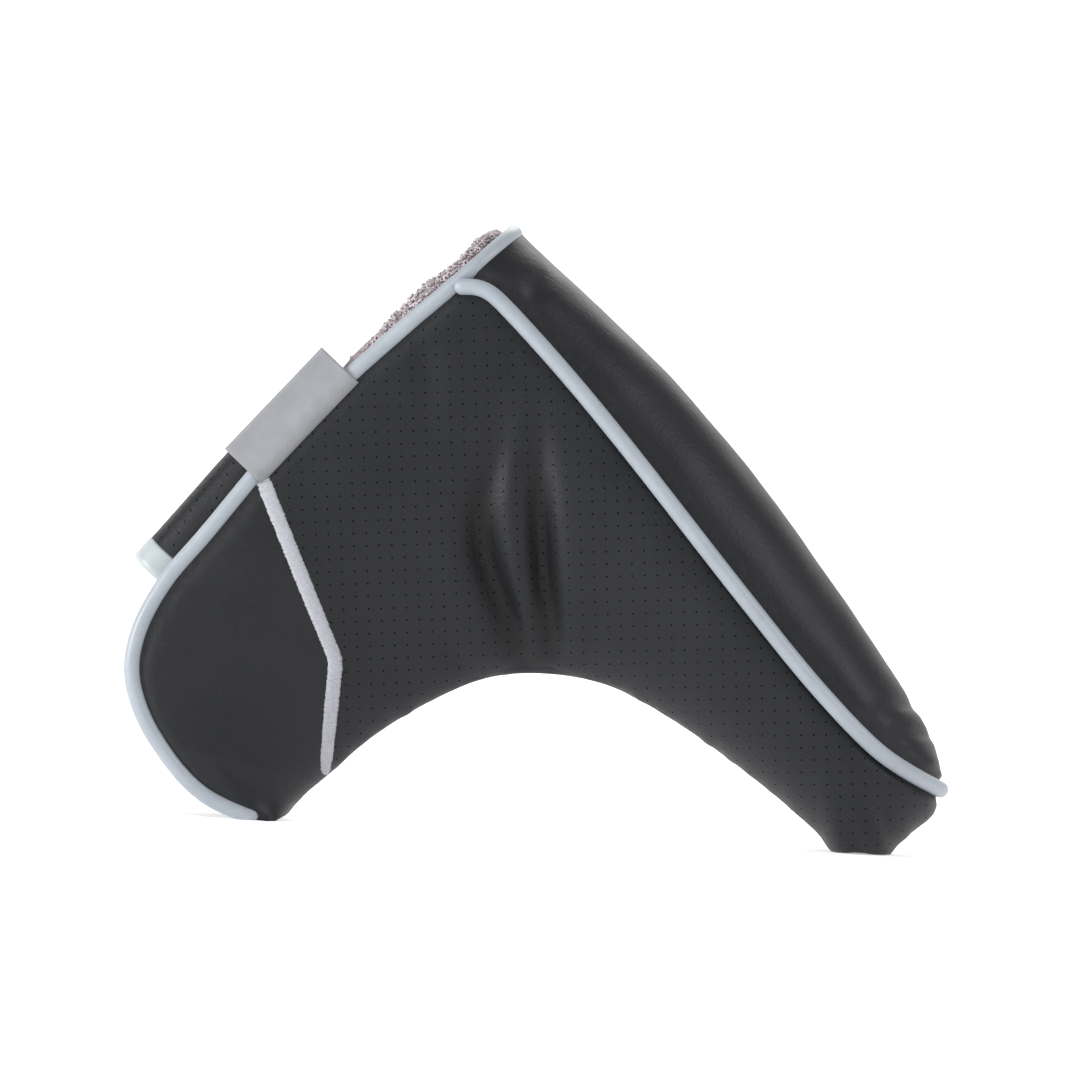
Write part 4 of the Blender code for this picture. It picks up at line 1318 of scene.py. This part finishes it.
def label_ribbon():
    section = smooth_curve(label_section(), np.linspace(0, 1, 64))
    over = distance_along(section)
    points, normals = FRONT
    bead = (points - normals * MOUTH_BEAD_DEPTH)[CORNER:, 0]
    start = at_mouth(LABEL_START)
    along = unit(at_mouth(LABEL_START + 0.2) - start)
    out = np.array([along[1], -along[0]])
    rows, uv = [], []
    for run in np.linspace(0, LABEL_LENGTH, LABEL_STEPS + 1):
        flat = start + along * run
        near = np.argsort(np.linalg.norm(bead[:, (0, 2)] - flat, axis=1))[:2]
        y = bead[near, 1].mean()
        sway = 0.10 * math.sin(run / 4.1) + 0.07 * math.sin(run / 1.9 + 1)
        spread = flat + out * section[:, :1]
        lean = sway * ramp(section[:, 0], LABEL_REACH)
        rows.append(np.stack([spread[:, 0], y - section[:, 1] + lean, spread[:, 1]], axis=-1))
        uv.append(np.stack([np.full(len(section), run), over], axis=-1))
    points = np.array(rows)
    faces = skin_faces(*points.shape[:2], False)
    weave = np.array(uv).reshape(-1, 2)
    made = make_piece("woven_label_ribbon", points.reshape(-1, 3), faces, LABEL, weave)
    wall = made.modifiers.new("ribbon", "SOLIDIFY")
    wall.thickness, wall.offset = RIBBON * MM, 0.0
    return apply_modifiers(made), over[-1]


label, label_width = label_ribbon()
turn_outwards(label)
belongs(label, "woven_label", "woven_label", body="flap")
label_cut = (LABEL_LENGTH * MM, label_width * MM)
print("label flat size:", LABEL_LENGTH, "x", round(float(label_width), 1), "mm")

# %% [markdown]
# ## Patterns that repeat
#
# Perforations, stitches and fleece curls repeat hundreds of times, so Geometry Nodes make them.
# Each tree has named inputs for its sizes, so the same tree serves several pieces. A helper gives
# the inputs by their identifiers, evaluates the tree and keeps the result as a plain mesh.

# %% Running a tree
KINDS = {
    "size": "Float", "count": "Int", "vector": "Vector", "turn": "Rotation", "object": "Object",
    "material": "Material",
}


class Pattern(Graph):
    """A geometry tree whose inputs are named when it is made."""

    def __init__(self, name, **inputs):
        super().__init__(bpy.data.node_groups.new(name, "GeometryNodeTree"))
        self.socket("Geometry", "Geometry")
        for label, kind in inputs.items():
            self.socket(label, KINDS[kind])
        self.socket("Geometry", "Geometry", "OUTPUT")
        self.inlet = self.tree.nodes.new("NodeGroupInput")

    def socket(self, label, kind, way="INPUT"):
        self.tree.interface.new_socket(label, in_out=way, socket_type="NodeSocket" + kind)

    def node(self, kind, inputs, output=0, **settings):
        return self.add("GeometryNode" + kind, settings, inputs, output)

    def store(self, points, label, kind, value):
        """Writes a value on each point under a name."""
        inputs = {0: points, "Name": label, "Value": value}
        return self.node("StoreNamedAttribute", inputs, data_type=kind, domain="POINT")

    def stored(self, label, kind="FLOAT"):
        return self.node("InputNamedAttribute", {"Name": label}, data_type=kind)

    def varied(self, low, high):
        """A number for each point between two, from the tree's seed."""
        inputs = {2: low, 3: high, "Seed": self.given("seed")}
        return self.add("FunctionNodeRandomValue", {"data_type": "FLOAT"}, inputs, 1)

    def turned(self, rotation, angles):
        """A rotation turned further about its own axes."""
        turn = self.add("FunctionNodeEulerToRotation", None, {0: angles})
        inputs = {0: rotation, 1: turn}
        return self.add("FunctionNodeRotateRotation", {"rotation_space": "LOCAL"}, inputs)

    def moved(self, place, way, amount):
        """A place moved by an amount along a way."""
        step = self.add("ShaderNodeVectorMath", {"operation": "SCALE"}, {0: way, "Scale": amount})
        return self.add("ShaderNodeVectorMath", {"operation": "ADD"}, {0: place, 1: step})

    def vector(self, **parts):
        return self.add("ShaderNodeCombineXYZ", None, parts)

    def panel_shape(self):
        return self.node("ObjectInfo", {"Object": self.given("panel")}, "Geometry")

    def given(self, label):
        return Wire(self, self.inlet.outputs[label])

    def end(self, points, shape, rotation, **more):
        """Stands a shape on every point, realizes it, gives it its material and ends the tree."""
        inputs = {"Points": points, "Instance": shape, "Rotation": rotation, **more}
        real = self.node("RealizeInstances", {0: self.node("InstanceOnPoints", inputs)})
        painted = self.node("SetMaterial", {0: real, "Material": self.given("finish")})
        self.add("NodeGroupOutput", None, {0: self.node("SetShadeSmooth", {0: painted})})

    def run(self, name, base, **values):
        """A new piece: what the tree makes of a base mesh with these inputs."""
        piece = bpy.data.objects.new(name, base)
        scene.collection.objects.link(piece)
        modifier = piece.modifiers.new("pattern", "NODES")
        modifier.node_group = self.tree
        for item in self.tree.interface.items_tree:
            if item.in_out == "INPUT" and item.name in values:
                modifier[item.identifier] = values[item.name]
        return apply_modifiers(piece)


print("pattern tools ready")

# %% [markdown]
# ### Perforations
#
# The leather is punched through a square lattice before it is cut, so the holes don't follow the
# seams. The tree lays a flat lattice in front of a panel and casts each of its points onto the
# leather. Points that miss, or land nearer to a seam than the margin, get no hole. A hole shows as
# a small cup with a bevelled lip, a shape of ten faces, painted near-black as painted shade for the
# dark inside of the hole.

# %% Perforation tree
HOLE_LIFT, CUP_DEPTH, CUP_FLARE = 0.012, 0.03, 1.25


def perforation_tree():
    tree = Pattern(
        "perforations", panel="object", pitch="size", across="size", radius="size", margin="size",
        centre="vector", facing="turn", finish="material",
    )
    pitch, radius, facing = (tree.given(label) for label in ("pitch", "radius", "facing"))
    lines = tree.given("across").sums("DIVIDE", pitch).sums("ROUND") + 1
    side = (lines - 1) * pitch
    sizes = {"Size X": side, "Size Y": side, "Vertices X": lines, "Vertices Y": lines}
    lattice = tree.node("MeshGrid", sizes)
    towards = tree.add(
        "FunctionNodeRotateVector", None, {"Vector": (0, 0, -1), "Rotation": facing}
    )
    before = tree.moved(tree.given("centre"), towards, -0.1)
    laid = tree.node("Transform", {0: lattice, "Translation": before, "Rotation": facing})
    cast = {"Attribute": tree.stored("margin"), "Ray Direction": towards, "Ray Length": 0.3}
    cast["Target Geometry"] = tree.panel_shape()
    hit = tree.node("Raycast", cast, data_type="FLOAT")
    inside = hit.out("Attribute").sums("GREATER_THAN", tree.given("margin"))
    landed = tree.moved(hit.out("Hit Position"), hit.out("Hit Normal"), HOLE_LIFT * MM)
    upright = tree.add(
        "FunctionNodeAlignRotationToVector", {"axis": "Z"}, {"Vector": hit.out("Hit Normal")}
    )
    cup = {"Vertices": 8, "Radius Top": radius, "Radius Bottom": radius * CUP_FLARE}
    cup = tree.node("MeshCone", {**cup, "Depth": CUP_DEPTH * MM})
    points = tree.store(laid, "stand", "QUATERNION", upright)
    points = tree.store(points, "kept", "FLOAT", inside * hit.out("Is Hit"))
    dropped = tree.node("SetPosition", {0: points, "Position": landed})
    chosen = tree.stored("kept").sums("GREATER_THAN", 0.5)
    tree.end(dropped, cup, tree.stored("stand", "QUATERNION"), Selection=chosen)
    return tree


PITCH = 2.6
LATTICE_TURN = math.radians(5)
HOLE_RADIUS = 0.165
punch = perforation_tree()


def perforate(name, panel, centre, across, facing, margin):
    piece = punch.run(
        name, bpy.data.meshes.new(name), panel=panel, pitch=PITCH * MM, across=across * MM,
        radius=HOLE_RADIUS * MM, margin=margin, centre=Vector(centre) * MM, facing=facing,
        finish=HOLE_SHADE,
    )
    return piece


PANEL_MIDDLE, PANEL_ACROSS, PANEL_MARGIN = (0, 0, 60), 190, 3.2
front_view = (math.pi / 2, -LATTICE_TURN, 0)
back_view = (math.pi / 2, LATTICE_TURN, math.pi)
front_holes, back_holes = (
    perforate(f"{side}_perforations", panel, PANEL_MIDDLE, PANEL_ACROSS, view, PANEL_MARGIN)
    for side, panel, view in (("front", front_panel, front_view), ("back", back_panel, back_view))
)
bend_with_flap(front_holes)
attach(back_holes, "cover")
tab_centre = tab_origin + tab_along * tab_length / 2 + tab_out * 8
tab_view = Vector((tab_out[0], -0.25, tab_out[1])).to_track_quat("Z", "Y").to_euler()
tab_middle = (tab_centre[0], 0, tab_centre[1])
tab_holes = perforate("tab_perforations", tab_leather, tab_middle, 80, tab_view, 2.4)
bend_with_tab(tab_holes)
CUP_FACES = 10
print("holes:", [len(p.data.polygons) // CUP_FACES for p in (front_holes, back_holes, tab_holes)])

# %% [markdown]
# ### Satin stitch
#
# The chevron is a band of thread laid side by side across the join, thick enough to hide it. One
# thread is a short rounded bar whose ends dip into the leather. The tree walks along a path, casts
# each step onto the leather to find its height and its slope, and stands a thread across the path.

# %% Stitch tree
def stitch_tree():
    tree = Pattern(
        "stitches", panel="object", pitch="size", length="size", width="size", lift="size",
        turn="size", drop="size", finish="material", seed="count",
    )
    curve = tree.node("MeshToCurve", {0: tree.given("Geometry")})
    steps = tree.node("CurveToPoints", {0: curve, "Length": tree.given("pitch")}, mode="LENGTH")
    here = tree.node("InputPosition", {})
    before = tree.moved(here, (0, 1, 0), -0.08)
    cast = {"Source Position": before, "Ray Direction": (0, 1, 0), "Ray Length": 0.2}
    hit = tree.node("Raycast", {**cast, "Target Geometry": tree.panel_shape()})
    points = tree.store(steps, "ground", "FLOAT_VECTOR", hit.out("Hit Normal"))
    points = tree.store(points, "way", "FLOAT_VECTOR", steps.out("Tangent"))
    landed = tree.moved(hit.out("Hit Position"), hit.out("Hit Normal"), tree.given("lift"))
    laid = tree.node("SetPosition", {0: points, "Position": landed})
    ground, tangent = (tree.stored(label, "FLOAT_VECTOR") for label in ("ground", "way"))
    stand = tree.add(
        "FunctionNodeAxesToRotation", {"primary_axis": "Z", "secondary_axis": "X"},
        {"Primary Axis": ground, "Secondary Axis": tangent},
    )
    spin = tree.vector(Z=tree.given("turn") + tree.varied(-0.03, 0.03))
    half = tree.given("length") * 0.5
    bar = {"Vertices": 8, "Side Segments": 6, "Radius": tree.given("width") * 0.5}
    bar = tree.node("MeshCylinder", {**bar, "Depth": tree.given("length")})
    lying = tree.node("Transform", {0: bar, "Rotation": (0, math.pi / 2, 0)})
    parts = tree.add("ShaderNodeSeparateXYZ", None, {0: tree.node("InputPosition", {})})
    dip = parts.out("X").sums("DIVIDE", half).sums("ABSOLUTE").sums("POWER", 3.0)
    dip = tree.vector(Z=dip * tree.given("drop") * -1.0)
    sunk = tree.node("SetPosition", {0: lying, "Offset": dip})
    fat = tree.varied(0.95, 1.06)
    tree.end(laid, sunk, tree.turned(stand, spin), Scale=tree.vector(X=fat, Y=fat, Z=1.0))
    return tree


def path_mesh(name, points):
    """A line of edges in the front view, for a stitch tree to walk along."""
    data = bpy.data.meshes.new(name)
    places = [(x * MM, 0, z * MM) for x, z in points]
    data.from_pydata(places, [(i, i + 1) for i in range(len(places) - 1)], [])
    return data


print("stitch path tools ready")

# %% Chevron
BAND_WIDTH = 3.1
FILL_PITCH, THREAD_WIDTH = 0.34, 0.42
CORNER_ROUND = 1.6
BAND_FROM_BEAD, BAND_FROM_SEAM = 2.6, 0.6
THREAD_LIFT, THREAD_DIP = 0.2, 0.4
THREAD_FACES = 50
stitches = stitch_tree()


def chevron_path():
    """From beside the bead, round the corner on the fold, to the closed seam."""
    start, kink, foot = CHEVRON
    before, after = unit(kink - start), unit(foot - kink)
    path = [start + before * BAND_FROM_BEAD]
    for t in np.linspace(0, 1, 7):
        near = kink - before * CORNER_ROUND * (1 - t)
        far = kink + after * CORNER_ROUND * t
        path.append(near + (far - near) * t)
    return [*path, foot - after * BAND_FROM_SEAM]


ground = skin("stitch_ground", FRONT_SEWN, 0, THREAD)
chevron = stitches.run(
    "chevron_satin_stitch", path_mesh("chevron_path", chevron_path()), panel=ground,
    pitch=FILL_PITCH * MM, length=BAND_WIDTH * MM, width=THREAD_WIDTH * MM,
    lift=THREAD_LIFT * MM, drop=THREAD_DIP * MM, turn=math.pi / 2, finish=THREAD, seed=3,
)
bpy.data.objects.remove(ground)
bend_with_flap(chevron)
belongs(chevron, "thread", "flap_chevron_stitching", "body_chevron_stitching")
print("chevron threads:", len(chevron.data.polygons) // THREAD_FACES)

# %% [markdown]
# ### Fleece
#
# The lining is a curly pile. It can't be a flat bumpy sheet, because its edge shows against the
# light above the bead. A roll of backing fills the edge of the mouth, and curls cover it and the
# part of the lining that shows when the flap is open. The tree spreads points a set distance apart
# over a surface and plants a short spiral on each, turned and scaled at random from a fixed seed.

# %% Pile tree
def pile_tree():
    tree = Pattern(
        "pile", spacing="size", height="size", curl="size", yarn="size", rounds="size",
        seed="count", finish="material",
    )
    curl, seed = tree.given("curl"), tree.given("seed")
    points = tree.node(
        "DistributePointsOnFaces",
        {0: tree.given("Geometry"), "Distance Min": tree.given("spacing"), "Density Max": 4e6,
         "Density Factor": tree.stored("pile"), "Seed": seed},
        distribute_method="POISSON",
    )
    spiral = tree.node(
        "CurveSpiral",
        {"Resolution": 8, "Rotations": tree.given("rounds"), "Start Radius": curl,
         "End Radius": curl * 0.5, "Height": tree.given("height")},
    )
    ring = tree.node("CurvePrimitiveCircle", {"Resolution": 4, "Radius": tree.given("yarn")})
    yarn = tree.node("CurveToMesh", {0: spiral, 1: ring, "Fill Caps": True})
    lean = tree.add(
        "FunctionNodeRandomValue", {"data_type": "FLOAT_VECTOR"},
        {0: (-0.75, -0.75, -3.14), 1: (0.75, 0.75, 3.14), "Seed": seed},
    )
    stand = tree.turned(points.out("Rotation"), lean)
    tree.end(points, yarn, stand, Scale=tree.varied(0.7, 1.25))
    return tree


def pile_ground(grid, depth, turned, shown):
    """The inner face of a lining as a bare mesh, with how thickly each point is planted."""
    piece = skin("pile_ground", grid, depth, BACKING, turned)
    mark(piece, "pile", shown)
    data = piece.data
    bpy.data.objects.remove(piece)
    return data


pile = pile_tree()
CURLS = {
    "spacing": 1.2 * MM, "height": 0.7 * MM, "curl": 0.6 * MM, "yarn": 0.24 * MM, "rounds": 1.3,
}


def grow_curls(name, ground, seed, **changes):
    return pile.run(name, ground, **{**CURLS, **changes}, seed=seed, finish=FLEECE)


print("curls:", {part: round(size, 5) for part, size in CURLS.items()})

# %% Roll of fleece at the mouth
ROLL_RADIUS = 1.9
ROLL_INSET = 5.0
ROLL_END = 0.30
# How far outwards the roll stands: along the gusset's end, and down the mouth.
OVER_GUSSET = ((0, 0.4, 1), (1.2, 2.5, 2.5))
DOWN_MOUTH = ((0.0, 0.03, 0.11, 0.18, ROLL_END), (2.5, 2.3, 0.9, -0.6, -1.8))


def roll_path(side):
    """A line inside the mouth's edge, from the top of the gusset's end to beside the label."""
    ridge, facing = GUSSET
    over = slice(GUSSET_ROWS // 2, 3, -1)
    arc = ridge[-1, over] - facing[-1, over] * ROLL_INSET
    arc_out = unit(ridge[-1] - ridge[-6])[over]
    arc_reach = np.interp(np.linspace(0, 1, len(arc)), *OVER_GUSSET)
    last = round(ROLL_END * MOUTH_STEPS)
    edge, inner = (FRONT[0][CORNER + 2 : CORNER + last, row] for row in (0, 8))
    run_out = unit((edge - inner) * (1, 0, 1))
    at = np.arange(2, last) / MOUTH_STEPS
    run_reach = np.interp(at, *DOWN_MOUTH)
    reach = np.concatenate([arc_reach, run_reach])[:, None]
    path = np.vstack([arc, edge + (0, ROLL_INSET, 0)]) + np.vstack([arc_out, run_out]) * reach
    return relaxed(evenly(path * (1, -side, 1), BEAD_SPACING), 12)


def fleece_roll(side, name):
    roll = tube(f"{name}_fleece_roll", roll_path(side), ROLL_RADIUS, BACKING)
    mark(roll, "pile", np.ones(len(roll.data.vertices)))
    tighter = {"spacing": 0.9 * MM, "curl": 0.62 * MM}
    curls = grow_curls(f"{name}_roll_curls", roll.data.copy(), 11 + side, **tighter)
    return roll, curls


front_roll = fleece_roll(-1, "front")
back_roll = fleece_roll(1, "back")
for piece in front_roll:
    bend_with_flap(piece)
for piece in back_roll:
    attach(piece, "cover")

print("roll curl faces:", [len(p[1].data.polygons) for p in (front_roll, back_roll)])

# %% Curls on the lining
NEAR_MOUTH = 16
PAST_FOLD = {"front": -2, "back": -14}
FROM_EDGE, FROM_SEAM = 0.4, 5.5
INNER_DEPTH = LINING_DEPTH + LINING_THICK - 0.15


def planted(grid, side):
    """Where the pile shows: near the mouth, and all over the neck, which the flap uncovers."""
    points = grid[0]
    from_edge, from_seam = along_rows(points)
    beyond = (points - FOLD_POINT * (1, 0, 1)) @ TOWARDS_FLAP
    in_mouth = (np.arange(len(points)) > (CORNER * len(points)) // len(FRONT[0]))[:, None]
    shown = (in_mouth & (from_edge < NEAR_MOUTH)) | (beyond > PAST_FOLD[side])
    return shown & (from_edge > FROM_EDGE) & (from_seam > FROM_SEAM)


def lining_curls(side, grid, shown, seed):
    """The curls of one side's lining, which stand on its inner face."""
    ground = pile_ground(grid, INNER_DEPTH, side == "front", shown)
    return grow_curls(f"{side}_fleece_curls", ground, seed)


curls = {}
for side, grid, seed in (("front", FRONT_PADDED, 2), ("back", BACK_PADDED, 3)):
    inner = trimmed(proud_of_mouth(grid), seam=10, first=30, last=14)
    curls[side] = lining_curls(side, inner, planted(inner, side), seed)
gusset_inner = trimmed(GUSSET_SEWN, 4, 4, 30, 0)
gusset_shown = np.zeros(gusset_inner[0].shape[:2])
gusset_shown[int(len(gusset_shown) * 0.72) :] = 1
curls["gusset"] = lining_curls("gusset", gusset_inner, gusset_shown, 5)
bend_with_flap(curls["front"])
for side, piece in curls.items():
    if side != "front":
        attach(piece, "cover")
print("curl faces:", {side: len(piece.data.polygons) for side, piece in curls.items()})
